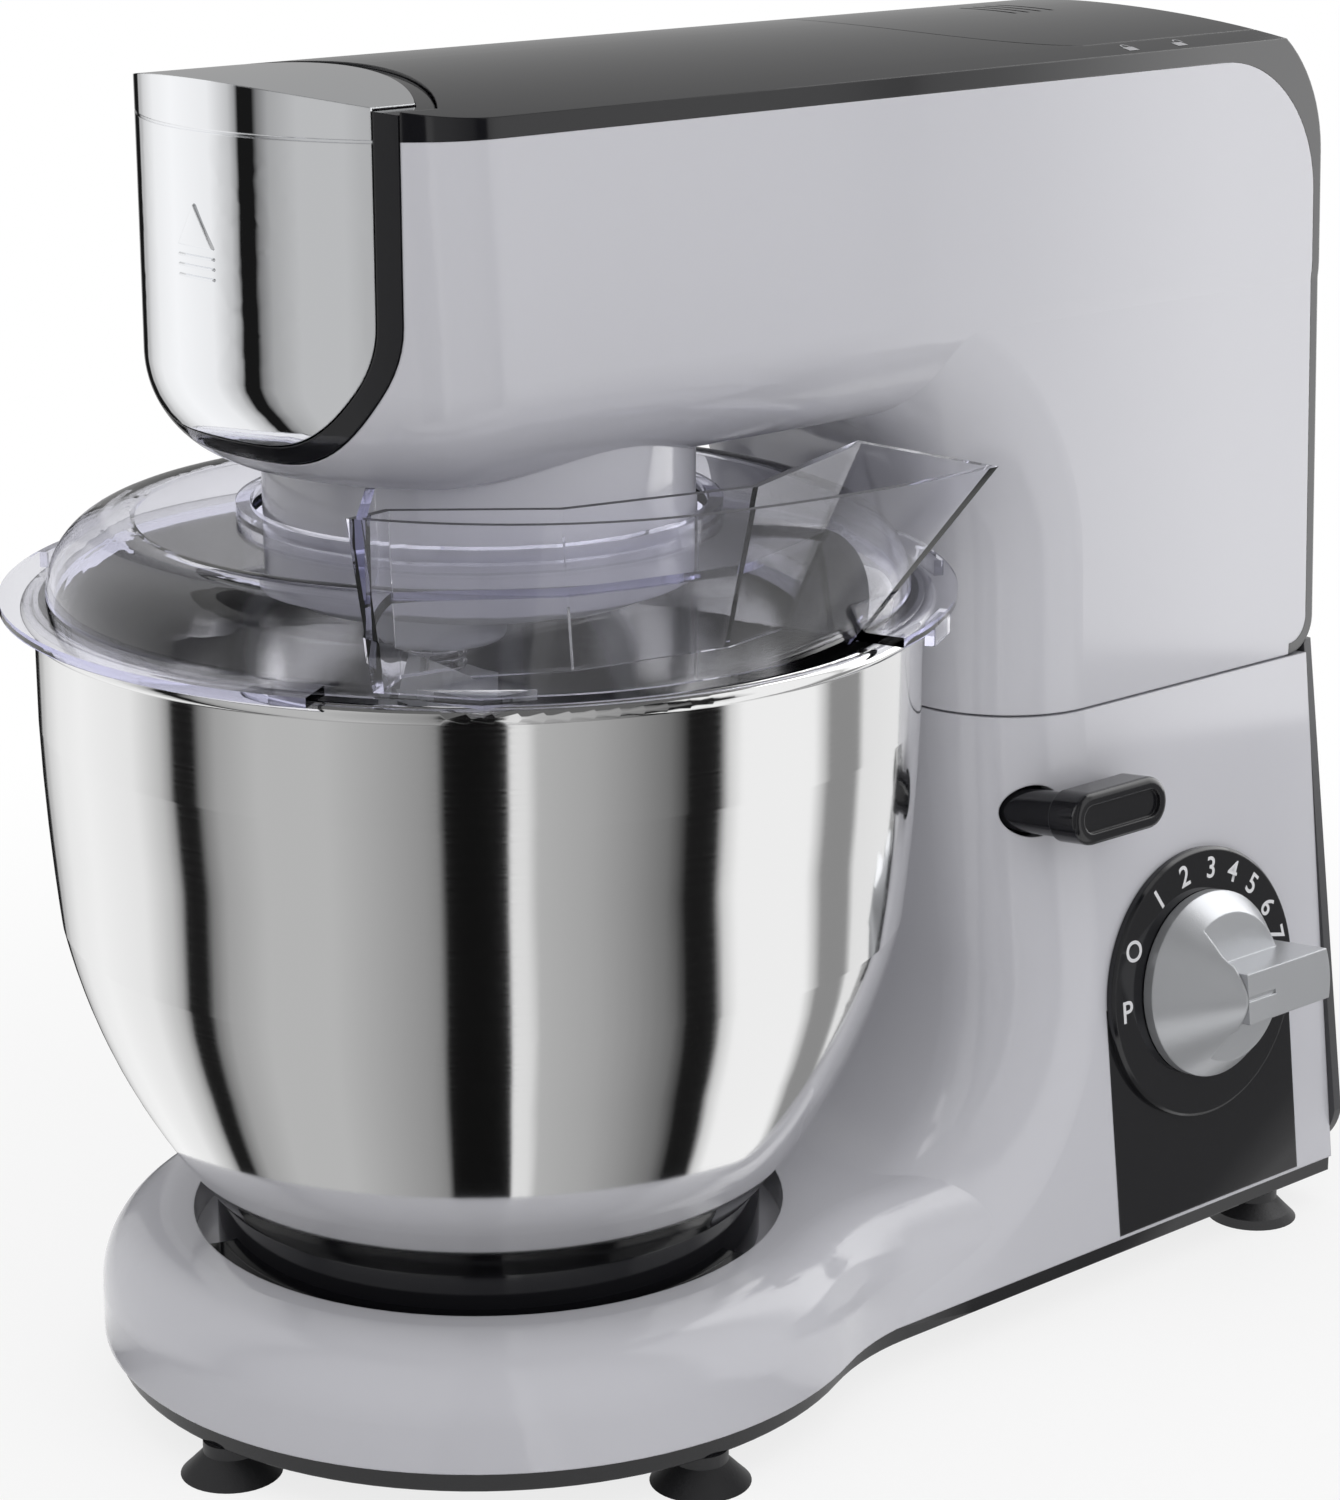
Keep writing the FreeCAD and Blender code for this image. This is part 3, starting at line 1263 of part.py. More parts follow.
def bar_along(points, radius):
    """A round bar along straight runs, with balls at its corners."""
    bar = None
    for p, q in zip(points, points[1:]):
        run = Part.makeCylinder(radius, (q - p).Length, p, q - p)
        bar = run if bar is None else bar.fuse(run)
    for p in points[1:-1]:
        bar = bar.fuse(Part.makeSphere(radius, p))
    return bar


def beater():
    """Flat beater: a block on the spindle, a rounded outer frame and ribs across it."""
    half = size("beater_x")
    low = size("tool_bottom") + size("beater_bar") / 2
    top = size("tool_z") - 27.0
    r = size("beater_bar") / 2
    frame = outline([
        V(-9, 0, top), (V(-half * 0.80, 0, top - 14), V(-half + r, 0, top - 44)),
        (V(-half * 0.86, 0, low + 14), V(-half * 0.45, 0, low)), V(half * 0.45, 0, low),
        (V(half * 0.86, 0, low + 14), V(half - r, 0, top - 44)), (V(half * 0.80, 0, top - 14), V(9, 0, top)),
    ])
    inner = frame.makeOffset2D(-r)
    outer = frame.makeOffset2D(r)
    plate = Part.Face(outer).cut(Part.Face(inner)).extrude(V(0, 2 * r, 0))
    plate.translate(V(0, -r, 0))
    ribs = block(-r * 0.8, r * 0.8, -r * 0.8, r * 0.8, low, top)
    for z, slope in ((low + 22, 10), (low + 46, 10)):
        for side in (1, -1):
            end = V(side * (half - 2 * r), 0, z + slope)
            ribs = ribs.fuse(bar_along([V(0, 0, z), end], r * 0.7))
    ribs = ribs.common(Part.Face(outer).extrude(V(0, 4 * r, 0)).translated(V(0, -2 * r, 0)))
    hub = block(-11, 11, -11, 11, size("tool_z") - 24, size("tool_z"))
    hub = hub.makeFillet(2.0, [e for e in hub.Edges if abs(e.Vertexes[0].Z - e.Vertexes[1].Z) > 1])
    stem = block(-9, 9, -r, r, top - 4, size("tool_z") - 23)
    tool = plate.fuse(ribs).fuse(stem).fuse(hub)
    bore = tube(size("spindle_r") + size("fit"), SPINDLE_LOW - 0.5, size("tool_z") + 1)
    gap = DRIVE_PIN_R + 0.3
    slot = block(-gap, gap, -12, 12, PIN_Z - gap, PIN_Z + gap)
    tool = tool.cut(bore).cut(slot)
    return moved_to(tool.removeSplitter(), SPINDLE)


keep("beater", beater())

# Bowl and its black base


def bowl_profile(inset):
    """Half section of the bowl's wall from rim to bottom, drawn in by inset."""
    r = size("bowl_r") - inset
    foot = size("bowl_foot_r") - inset
    low = size("bowl_foot_z")
    floor = low - 2.4 + inset
    knee = 126.0
    knee_r = size("bowl_r") - 3.5 - inset
    top = size("bowl_rim_z")
    high = 178.0
    mid = V((knee_r + foot) / 2 + 4.5, 0, (knee + low) / 2 - 2.2)
    return [V(r, 0, top), V(r, 0, high), (V(r - 1.2, 0, (high + knee) / 2), V(knee_r, 0, knee)),
            (mid, V(foot, 0, low)), V(foot - 5, 0, floor), V(0, 0, floor)]


def bowl():
    """Polished steel bowl with a rolled rim."""
    outer = bowl_profile(0.0)
    inner = bowl_profile(size("bowl_wall"))
    lift = size("bowl_wall") * 0.2
    wire_out = Part.Face(outline(outer + [V(0, 0, size("bowl_rim_z"))])).revolve(V(0, 0, 0), V(0, 0, 1), 360)
    wire_in = Part.Face(outline(inner + [V(0, 0, size("bowl_rim_z"))])).revolve(V(0, 0, 0), V(0, 0, 1), 360)
    wire_in.translate(V(0, 0, lift))
    bead = size("rim_bead")
    roll = Part.makeTorus(size("bowl_r") + bead - 0.6, bead, V(0, 0, size("bowl_rim_z") - bead))
    return wire_out.cut(wire_in).fuse(roll).cut(tube(size("bowl_r") - size("bowl_wall"), 190, 300))


keep("bowl", bowl())


def bowl_base():
    """Black base of the bowl with two wide bayonet lugs, seated in the foot."""
    low = size("bowl_foot_z") - size("bowl_base_h") - 0.1
    ring = tube(size("bowl_foot_r") - 0.8, low, size("bowl_foot_z") - 0.1)
    skin = Part.Face(outline(bowl_profile(-0.05) + [V(0, 0, size("bowl_rim_z"))]))
    ring = ring.cut(skin.revolve(V(0, 0, 0), V(0, 0, 1), 360))
    ring = ring.cut(tube(size("bowl_foot_r") - 14, low - 1, size("bowl_foot_z") - 5))
    for a in (-112, 68):
        lug = Part.makeCylinder(size("seat_r") - 1.2, 5.0, V(0, 0, low), V(0, 0, 1), 135)
        lug = lug.cut(tube(size("bowl_foot_r") - 5, low - 1, low + 6))
        lug.rotate(V(0, 0, 0), V(0, 0, 1), a)
        ring = ring.fuse(lug)
    return ring.removeSplitter()


keep("bowl_base", bowl_base())

# Clear lid and pouring chute

CHUTE_LOW = size("lid_z") + 0.6


def chute_wire(z, grow):
    """Level outline of the chute: narrow along the bowl, wide at the hopper, wider again at the rim."""
    share = (z - CHUTE_LOW) / (size("chute_z") - CHUTE_LOW)

    def between(low, high):
        return V(low[0] + (high[0] - low[0]) * share, low[1] + (high[1] - low[1]) * share, z)

    left_out = between((63.5, -82.0), (58.0, -84.5))
    wire = outline([
        left_out,
        (between((86.6, -63.0), (86.0, -64.0)), between((104.8, -22.3), (108.0, -25.0))),
        (between((107.0, 4.0), (115.0, 14.0)), between((102.2, 31.0), (115.0, 64.0))),
        between((80.0, 26.0), (71.0, 61.0)),
        between((84.0, 4.0), (92.0, 6.0)),
        between((77.0, -36.0), (81.0, -42.0)),
        between((57.0, -72.0), (56.0, -72.0)),
    ])
    return wire.makeOffset2D(grow, 1) if grow else wire


def chute_form(grow, low, high):
    """Solid of the chute's outline between two heights."""
    return Part.makeLoft([chute_wire(low, grow), chute_wire(high, grow)], True, True)


def lid():
    """Clear domed lid with a flange on the bowl's rim, a hole for the neck and a window for the chute."""
    wall = size("lid_wall")
    z0 = size("lid_z")
    top = size("dome_z")
    bend = V((size("dome_r") + size("crease_r")) / 2 + 5, 0, (z0 + wall + top) / 2 + 4)
    inward = V(bend.x - wall * 0.75, 0, bend.z - wall * 0.75)
    section = outline([
        V(size("lid_r"), 0, z0), V(size("lid_r"), 0, z0 + wall), V(size("dome_r"), 0, z0 + wall),
        (bend, V(size("crease_r"), 0, top)), V(size("hole_r") + 3.6, 0, top),
        V(size("hole_r") + 3.6, 0, top + 3), V(size("hole_r"), 0, top + 3),
        V(size("hole_r"), 0, top - wall), V(size("crease_r") - 1, 0, top - wall),
        (inward, V(size("dome_r") - wall, 0, z0)),
    ])
    form = Part.Face(section).revolve(V(0, 0, 0), V(0, 0, 1), 360)
    form = form.cut(chute_form(0.3, CHUTE_LOW - 2, size("chute_z") + 2))
    sector = outline([V(90, -72, 190), V(140, -112, 190), V(150, 30, 190), V(140, 44, 190), V(98, 31, 190)])
    form = form.cut(prism(sector, V(0, 0, 24)).cut(tube(size("dome_r") - 4, 180, 260)))
    front = outline([V(53.1, -84.7, 190), V(90.3, -144, 190), V(140, -112, 190), V(90, -72, 190)])
    form = form.cut(prism(front, V(0, 0, 24)).cut(tube(size("dome_r"), 180, 260)))
    for a in (-150, 30, 62):
        tab = block(size("lid_r") - 2.6, size("lid_r"), -7, 7, z0 - 4.0, z0 + 0.5)
        tab.rotate(V(0, 0, 0), V(0, 0, 1), a)
        form = form.fuse(tab)
    return form.removeSplitter()


keep("lid", lid())


def pouring_chute():
    """Clear pouring chute: an open wall that flares into a hopper with a spout, and a fin at its left end."""
    wall = size("chute_wall")
    form = chute_form(0.0, CHUTE_LOW, size("chute_z"))
    form = form.cut(chute_form(-wall, CHUTE_LOW - 1, size("chute_z") + 1))
    fin_low = size("dome_z") + 0.3
    ends = [V(58.5, -82.0, fin_low), V(35.2, -61.7, fin_low), V(36.8, -60.1, fin_low),
            V(60.2, -80.4, fin_low)]
    fin = prism(Part.makePolygon(ends + [ends[0]]), V(0, 0, size("chute_z") - fin_low))
    return form.fuse(fin).removeSplitter()


keep("pouring_chute", pouring_chute())

# Check every object, then write one file for each sub-part

doc.recompute()
for thing in doc.Objects:
    if "Invalid" in thing.State or "Error" in thing.State:
        raise RuntimeError("failed object " + thing.Name)
os.makedirs("parts", exist_ok=True)
for thing in PARTS:
    if thing.Shape.isNull() or not thing.Shape.isValid():
        raise RuntimeError("bad shape in " + thing.Label)
    thing.Shape.exportStep("parts/%s.step" % thing.Label)
print("%d sub-parts" % len(PARTS))
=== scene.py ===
"""Stand mixer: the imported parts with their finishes, the printed and raised marks, and a plain studio."""

import json
import math

import bmesh
import bpy
from mathutils import Matrix, Vector


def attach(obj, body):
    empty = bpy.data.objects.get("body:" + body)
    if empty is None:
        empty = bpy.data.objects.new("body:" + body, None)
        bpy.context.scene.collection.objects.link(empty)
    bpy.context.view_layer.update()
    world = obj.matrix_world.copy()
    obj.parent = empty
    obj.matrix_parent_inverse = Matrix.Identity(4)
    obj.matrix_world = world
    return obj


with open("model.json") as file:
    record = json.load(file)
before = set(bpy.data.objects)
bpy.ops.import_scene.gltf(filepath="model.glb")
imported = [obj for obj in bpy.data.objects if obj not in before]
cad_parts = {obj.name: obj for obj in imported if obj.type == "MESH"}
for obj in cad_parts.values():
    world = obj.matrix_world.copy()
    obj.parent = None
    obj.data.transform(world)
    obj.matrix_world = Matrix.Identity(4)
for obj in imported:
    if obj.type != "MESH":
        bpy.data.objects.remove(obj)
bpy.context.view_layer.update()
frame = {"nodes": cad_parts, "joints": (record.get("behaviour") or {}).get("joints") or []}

# Base: one hollow moulding that forms the column and the round foot with the bowl's seat.
# Cool white plastic, polished in the tool, so its gloss wanders only over large areas and its
# edges are softened by the tool's radius.
sheen = bpy.data.node_groups.new("moulding sheen", "ShaderNodeTree")
for socket_name in ("Cloud Size", "Smooth", "Dull", "Grain Size"):
    sheen.interface.new_socket(socket_name, in_out="INPUT", socket_type="NodeSocketFloat")
for socket_name in ("Roughness", "Grain"):
    sheen.interface.new_socket(socket_name, in_out="OUTPUT", socket_type="NodeSocketFloat")
sheen_in = sheen.nodes.new("NodeGroupInput")
sheen_out = sheen.nodes.new("NodeGroupOutput")
sheen_place = sheen.nodes.new("ShaderNodeTexCoord")
sheen_cloud = sheen.nodes.new("ShaderNodeTexNoise")
sheen_range = sheen.nodes.new("ShaderNodeMapRange")
sheen_grain = sheen.nodes.new("ShaderNodeTexNoise")
sheen.links.new(sheen_place.outputs["Object"], sheen_cloud.inputs["Vector"])
sheen.links.new(sheen_place.outputs["Object"], sheen_grain.inputs["Vector"])
sheen.links.new(sheen_in.outputs["Cloud Size"], sheen_cloud.inputs["Scale"])
sheen.links.new(sheen_in.outputs["Grain Size"], sheen_grain.inputs["Scale"])
sheen.links.new(sheen_cloud.outputs["Fac"], sheen_range.inputs["Value"])
sheen.links.new(sheen_in.outputs["Smooth"], sheen_range.inputs["To Min"])
sheen.links.new(sheen_in.outputs["Dull"], sheen_range.inputs["To Max"])
sheen.links.new(sheen_range.outputs["Result"], sheen_out.inputs["Roughness"])
sheen.links.new(sheen_grain.outputs["Fac"], sheen_out.inputs["Grain"])


def finish(name, colour, smooth, dull, cloud, grain=400.0, relief=0.02, edge=0.0, metallic=0.0,
           specular=0.5):
    """A material whose roughness wanders between smooth and dull, with fine relief and softened edges."""
    material = bpy.data.materials.new(name)
    material.use_nodes = True
    tree = material.node_tree
    shader = tree.nodes["Principled BSDF"]
    shader.inputs["Base Color"].default_value = (*colour, 1.0)
    shader.inputs["Metallic"].default_value = metallic
    shader.inputs["Specular IOR Level"].default_value = specular
    wander = tree.nodes.new("ShaderNodeGroup")
    wander.node_tree = sheen
    wander.inputs["Cloud Size"].default_value = cloud
    wander.inputs["Smooth"].default_value = smooth
    wander.inputs["Dull"].default_value = dull
    wander.inputs["Grain Size"].default_value = grain
    tree.links.new(wander.outputs["Roughness"], shader.inputs["Roughness"])
    bump = tree.nodes.new("ShaderNodeBump")
    bump.inputs["Strength"].default_value = relief
    bump.inputs["Distance"].default_value = 0.0005
    tree.links.new(wander.outputs["Grain"], bump.inputs["Height"])
    tree.links.new(bump.outputs["Normal"], shader.inputs["Normal"])
    if edge:
        rounding = tree.nodes.new("ShaderNodeBevel")
        rounding.samples = 4
        rounding.inputs["Radius"].default_value = edge
        tree.links.new(rounding.outputs["Normal"], bump.inputs["Normal"])
    return material


def dress(material, *names):
    """Put a material on CAD nodes."""
    for name in names:
        mesh = frame["nodes"][name].data
        mesh.materials.clear()
        mesh.materials.append(material)


gloss_white = finish("gloss white", colour=(0.64, 0.64, 0.685), smooth=0.09, dull=0.14, cloud=9.0,
                     grain=60.0, relief=0.012, edge=0.0006)
dress(gloss_white, "base_shell")

# Bottom plate, feet and the lead's bush: a black moulded plate closes the base from below.
# The suction cups under it and the bush in the back wall are soft rubber, pressed into their holes.
gloss_black = finish("gloss black", colour=(0.010, 0.010, 0.012), smooth=0.06, dull=0.11, cloud=12.0,
                     grain=80.0, relief=0.012, edge=0.0005)
rubber = finish("black rubber", colour=(0.016, 0.016, 0.018), smooth=0.42, dull=0.55, cloud=140.0,
                grain=1500.0, relief=0.10)
dress(gloss_black, "bottom_plate")
dress(rubber, "suction_feet", "cable_gland")

# Rear panel: a flat dark grey moulding with air slots that closes the back of the column.
# Its face carries a fine matte grain from the tool.
matte_dark = finish("matte dark grey", colour=(0.055, 0.055, 0.06), smooth=0.42, dull=0.52, cloud=90.0,
                    grain=2600.0, relief=0.12, edge=0.0004)
dress(matte_dark, "rear_panel")

# Speed control behind the dial: a rotary switch in a dark moulded case on the inside of the wall.
# A turned steel shaft joins it to the knob, and a lacquered circuit board is fixed to its inner face.
machined_steel = finish("machined steel", colour=(0.60, 0.60, 0.61), smooth=0.22, dull=0.32, cloud=160.0,
                        grain=900.0, relief=0.05, metallic=1.0)
circuit_board = finish("circuit board", colour=(0.04, 0.17, 0.08), smooth=0.35, dull=0.5, cloud=150.0,
                       grain=700.0, relief=0.08)
dress(matte_dark, "speed_switch")
dress(machined_steel, "knob_shaft")
dress(circuit_board, "control_board")

# Dial: a black gloss inlay let into the column's right side and a flat ring over it, both moulded.
# Pale figures are printed on the ring. The steps stand at their own angles, the figures with their
# heads outward and the two letters upright.
dress(gloss_black, "control_strip", "dial_ring")
ring_face = 0.00262
ink_rise = 0.00001
figure_radius = 0.0318
figure_height = 0.0060
figure_weight = 0.012
figure_steps = (("P", 182), ("O", 152), ("1", 122), ("2", 101), ("3", 81), ("4", 64), ("5", 47),
                ("6", 29), ("7", 12), ("8", -6))
joints = {joint["name"]: joint for joint in frame["joints"]}
dial_out = Vector(joints["knob_turn"]["axis"]).normalized()
dial_right = Vector((0.0, 1.0, 0.0))
dial_up = dial_out.cross(dial_right)
dial_centre = Vector(joints["knob_turn"]["pos_m"]) + dial_out * (ring_face + ink_rise)


def place(name, data):
    """A new object in the scene."""
    item = bpy.data.objects.new(name, data)
    bpy.context.scene.collection.objects.link(item)
    return item


figure_mesh = bpy.data.meshes.new("dial figures")
figures = bmesh.new()
for letter, degrees in figure_steps:
    text = bpy.data.curves.new("figure", "FONT")
    text.body = letter
    text.align_x = "CENTER"
    text.align_y = "CENTER"
    text.resolution_u = 6
    text.offset = figure_weight
    holder = place("figure", text)
    flat = bpy.data.meshes.new_from_object(holder)
    bpy.data.objects.remove(holder)
    bpy.data.curves.remove(text)
    across = [v.co.x for v in flat.vertices]
    upward = [v.co.y for v in flat.vertices]
    scale = figure_height / (max(upward) - min(upward))
    middle = Vector(((max(across) + min(across)) / 2, (max(upward) + min(upward)) / 2, 0))
    turn = math.radians(degrees)
    spot = dial_centre + (dial_right * math.cos(turn) + dial_up * math.sin(turn)) * figure_radius
    lean = turn - math.pi / 2 if letter.isdigit() else 0.0
    along = dial_right * math.cos(lean) + dial_up * math.sin(lean)
    tall = dial_up * math.cos(lean) - dial_right * math.sin(lean)
    flat.transform(Matrix.Translation(-middle))
    flat.transform(Matrix.Scale(scale, 4))
    flat.transform(Matrix.Translation(spot) @ Matrix((along, tall, dial_out)).transposed().to_4x4())
    figures.from_mesh(flat)
    bpy.data.meshes.remove(flat)
figures.to_mesh(figure_mesh)
figures.free()
dial_figures = place("dial_figures", figure_mesh)
print_white = finish("printed white", colour=(0.78, 0.78, 0.80), smooth=0.35, dull=0.45, cloud=300.0,
                     grain=1200.0, relief=0.03)
figure_mesh.materials.append(print_white)
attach(dial_figures, "base")

# Knob: a coned disc with a tall grip bar across it, moulded and sprayed in satin silver.
# It is pushed onto the switch's shaft.
satin_silver = finish("satin silver", colour=(0.50, 0.51, 0.53), smooth=0.26, dull=0.34, cloud=60.0,
                      grain=3200.0, relief=0.10, edge=0.0006, metallic=0.55)
dress(satin_silver, "speed_knob")

# Release lever and the head's catch: a black gloss moulding whose stem goes through the column's wall.
# Inside, the stem carries a nylon cam beside a steel striker that hangs from the head.
nylon = finish("natural nylon", colour=(0.72, 0.71, 0.66), smooth=0.4, dull=0.5, cloud=80.0,
               grain=900.0, relief=0.05)
dress(gloss_black, "release_lever")
dress(nylon, "latch_cam")
dress(machined_steel, "latch_striker")

# Head hinge: steel knuckles, one on the base and two on the head, machined where they meet.
# One ground pin goes through all three and carries the head as it tilts.
dress(machined_steel, "base_knuckle", "head_knuckles", "hinge_pin")

# Bowl: spun stainless steel with a rolled rim, polished on a wheel, so the gloss runs in fine level
# rings. Its black moulded base locks into the foot with two lugs.
bowl_axis = Vector(joints["bowl_twist"]["pos_m"])
polished_steel = finish("polished steel", colour=(0.80, 0.80, 0.80), smooth=0.05, dull=0.08, cloud=30.0,
                        grain=300.0, relief=0.004, metallic=1.0)
steel_tree = polished_steel.node_tree
steel_place = steel_tree.nodes.new("ShaderNodeTexCoord")
steel_level = steel_tree.nodes.new("ShaderNodeSeparateXYZ")
steel_rings = steel_tree.nodes.new("ShaderNodeTexNoise")
steel_rings.noise_dimensions = "1D"
steel_rings.inputs["Scale"].default_value = 1400.0
steel_range = steel_tree.nodes.new("ShaderNodeMapRange")
steel_range.inputs["To Min"].default_value = 0.05
steel_range.inputs["To Max"].default_value = 0.11
steel_tree.links.new(steel_place.outputs["Object"], steel_level.inputs["Vector"])
steel_tree.links.new(steel_level.outputs["Z"], steel_rings.inputs["W"])
steel_tree.links.new(steel_rings.outputs["Fac"], steel_range.inputs["Value"])
steel_tree.links.new(steel_range.outputs["Result"], steel_tree.nodes["Principled BSDF"].inputs["Roughness"])


def steel_step(operation, first, second=None):
    """One step of vector arithmetic in the steel; second is another step's output or a fixed vector."""
    step = steel_tree.nodes.new("ShaderNodeVectorMath")
    step.operation = operation
    steel_tree.links.new(first, step.inputs[0])
    if isinstance(second, bpy.types.NodeSocket):
        steel_tree.links.new(second, step.inputs[1])
    elif second is not None:
        step.inputs[1].default_value = second
    return step.outputs["Value" if operation == "DOT_PRODUCT" else "Vector"]


# A spun wall faces straight out from the bowl's axis, so the facets' sideways lean is taken out of its
# normal: only the part along the radius and the upright part are kept.
facet_normal = steel_place.outputs["Normal"]
from_axis = steel_step("SUBTRACT", steel_place.outputs["Object"], bowl_axis)
outward = steel_step("NORMALIZE", steel_step("MULTIPLY", from_axis, (1.0, 1.0, 0.0)))
outward_part = steel_step("MULTIPLY", outward, steel_step("DOT_PRODUCT", facet_normal, outward))
upright_part = steel_step("MULTIPLY", facet_normal, (0.0, 0.0, 1.0))
spun_normal = steel_tree.nodes.new("ShaderNodeVectorTransform")
spun_normal.vector_type = "NORMAL"
spun_normal.convert_from = "OBJECT"
spun_normal.convert_to = "WORLD"
steel_tree.links.new(steel_step("ADD", outward_part, upright_part), spun_normal.inputs["Vector"])
steel_tree.links.new(spun_normal.outputs["Vector"], steel_tree.nodes["Bump"].inputs["Normal"])
dress(polished_steel, "bowl")
dress(gloss_black, "bowl_base")

# Head: a white moulding like the base, closed by a black gloss cover that runs down the back and by a
# sliding cover over the rear outlet. A black band on the nose frames the cap.
dress(gloss_white, "head_shell")
dress(gloss_black, "top_cover", "outlet_cover", "front_band")

# Lock marks: two small padlocks beside the sliding cover, one closed and one open.
# They are printed in light grey on the black cover and follow the round of its top.
crown_top = 0.3385
crown_radius = 0.270
print_lift = 0.00006
lock_x = 0.0555
lock_foot = lock_x + 0.0021
lock_top = lock_x - 0.0006
lock_half_width = 0.0019
bow_middle = lock_x - 0.0014
bow_radii = (0.0009, 0.0014)
bow_steps = 12
closed_lock_y = bowl_axis.y + 0.1725
open_lock_y = bowl_axis.y + 0.1915
open_shift = 0.0014


def on_crown(x, y):
    """A point just above the cover's crown."""
    return Vector((x, y, crown_top - crown_radius + math.sqrt(crown_radius ** 2 - x ** 2) + print_lift))


lock_mesh = bpy.data.meshes.new("lock marks")
locks = bmesh.new()
for lock_y, shift in ((closed_lock_y, 0.0), (open_lock_y, open_shift)):
    corners = ((lock_foot, -1), (lock_foot, 1), (lock_top, 1), (lock_top, -1))
    locks.faces.new([locks.verts.new(on_crown(x, lock_y + side * lock_half_width)) for x, side in corners])
    bow_y = lock_y + shift
    bow_edges = []
    for radius in bow_radii:
        edge = [on_crown(lock_top, bow_y + radius)]
        for turn in (math.pi * k / bow_steps for k in range(bow_steps + 1)):
            edge.append(on_crown(bow_middle - radius * math.sin(turn), bow_y + radius * math.cos(turn)))
        if not shift:
            edge.append(on_crown(lock_top, bow_y - radius))
        bow_edges.append([locks.verts.new(point) for point in edge])
    inner, outer = bow_edges
    for k in range(len(inner) - 1):
        locks.faces.new((inner[k], inner[k + 1], outer[k + 1], outer[k]))
locks.normal_update()
for face in locks.faces:
    if face.normal.z < 0:
        face.normal_flip()
locks.to_mesh(lock_mesh)
locks.free()
lock_marks = place("lock_marks", lock_mesh)
print_grey = finish("printed grey", colour=(0.42, 0.42, 0.44), smooth=0.35, dull=0.45, cloud=300.0,
                    grain=1200.0, relief=0.03)
lock_mesh.materials.append(print_grey)
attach(lock_marks, "head")

# Motor: laminated stator and armature of stamped steel, with coils of enamelled copper, a commutator
# and brushes. It stands upright in the head's column between two moulded brackets, and the rear outlet's
# coupling sits on its turned shaft.
stamped_steel = finish("stamped steel", colour=(0.34, 0.34, 0.35), smooth=0.35, dull=0.5, cloud=120.0,
                       grain=800.0, relief=0.08, metallic=1.0)
copper = finish("enamelled copper", colour=(0.55, 0.26, 0.13), smooth=0.28, dull=0.4, cloud=200.0,
                grain=1600.0, relief=0.15, metallic=1.0)
dress(matte_dark, "lower_bracket", "upper_bracket", "motor_fan", "outlet_coupling")
dress(stamped_steel, "stator", "armature")
dress(copper, "field_coils", "commutator", "brush_boxes")
dress(machined_steel, "motor_shaft", "motor_pulley")

# Drive: a rubber belt to a nylon pulley, then steel and nylon gears on turned shafts in a stamped plate.
# They turn the hub with its planet gear in the neck, and by bevel gears the outlet behind the nose cap.
dress(rubber, "drive_belt")
dress(nylon, "large_pulley", "main_gear")
dress(stamped_steel, "gearbox_plate")
dress(machined_steel, "lay_shaft", "lay_pinion", "main_shaft", "bevel_drive", "bevel_driven",
      "outlet_shaft", "ring_gear", "planet_pinion")
dress(matte_dark, "outlet_collar")

# Hub and tool: light grey coated castings, the hub below the neck and the flat beater under it.
# A steel spindle with a cross pin holds the beater, and a wound spring presses it down.
grey_casting = finish("light grey casting", colour=(0.52, 0.53, 0.55), smooth=0.3, dull=0.42, cloud=70.0,
                      grain=1200.0, relief=0.06, edge=0.0005)
dress(grey_casting, "planet_hub", "beater")
dress(machined_steel, "spindle", "drive_pin", "spindle_spring")

# Nose cap: a thin moulding with bright chrome plating that slides up off the front outlet.
# A raised arrow and three bars, moulded on it, show the way.
chrome = finish("chrome plating", colour=(0.86, 0.87, 0.89), smooth=0.02, dull=0.035, cloud=20.0,
                grain=40.0, relief=0.004, edge=0.0005, metallic=1.0)
dress(chrome, "front_cap")
nose_radius = 0.075
nose_ahead = 0.007
nose_y = bowl_axis.y - nose_ahead
mark_proud = 0.00050
mark_sunk = -0.0002
mark_slope = 0.00045
mark_least = 0.00008
mark_columns = 16
arrow_low = 0.3001
arrow_high = 0.3104
arrow_half = 0.0079
arrow_tip_half = 0.0004
bar_half = 0.0080
bar_rise = 0.00055
bar_levels = (0.2981, 0.2958, 0.2934)


def on_nose(arc, z, out):
    """A point on the nose's round front, out from its surface."""
    turn = arc / nose_radius
    reach = nose_radius + out
    return Vector((reach * math.sin(turn), nose_y - reach * math.cos(turn), z))


def raise_mark(mesh, low, high, foot_half, head_half):
    """A raised flat field between two heights, tapering from foot to head, with sloped sides."""
    levels = []
    for z, half, out in ((low, foot_half, mark_sunk),
                         (low + mark_slope, foot_half - mark_slope, mark_proud),
                         (high - mark_slope, head_half - mark_slope, mark_proud),
                         (high, head_half, mark_sunk)):
        half = max(half, mark_least)
        row = []
        for k in range(mark_columns + 1):
            share = 2.0 * k / mark_columns - 1.0
            at_side = k in (0, mark_columns)
            row.append(mesh.verts.new(on_nose(share * half, z, mark_sunk if at_side else out)))
        levels.append(row)
    for lower, upper in zip(levels, levels[1:]):
        for k in range(mark_columns):
            mesh.faces.new((lower[k], lower[k + 1], upper[k + 1], upper[k]))


cap_mesh = bpy.data.meshes.new("cap marks")
cap_raised = bmesh.new()
raise_mark(cap_raised, arrow_low, arrow_high, arrow_half, arrow_tip_half)
for bar_z in bar_levels:
    raise_mark(cap_raised, bar_z - bar_rise, bar_z + bar_rise, bar_half, bar_half)
cap_raised.to_mesh(cap_mesh)
cap_raised.free()
cap_marks = place("cap_marks", cap_mesh)
cap_mesh.materials.append(chrome)
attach(cap_marks, "cap")

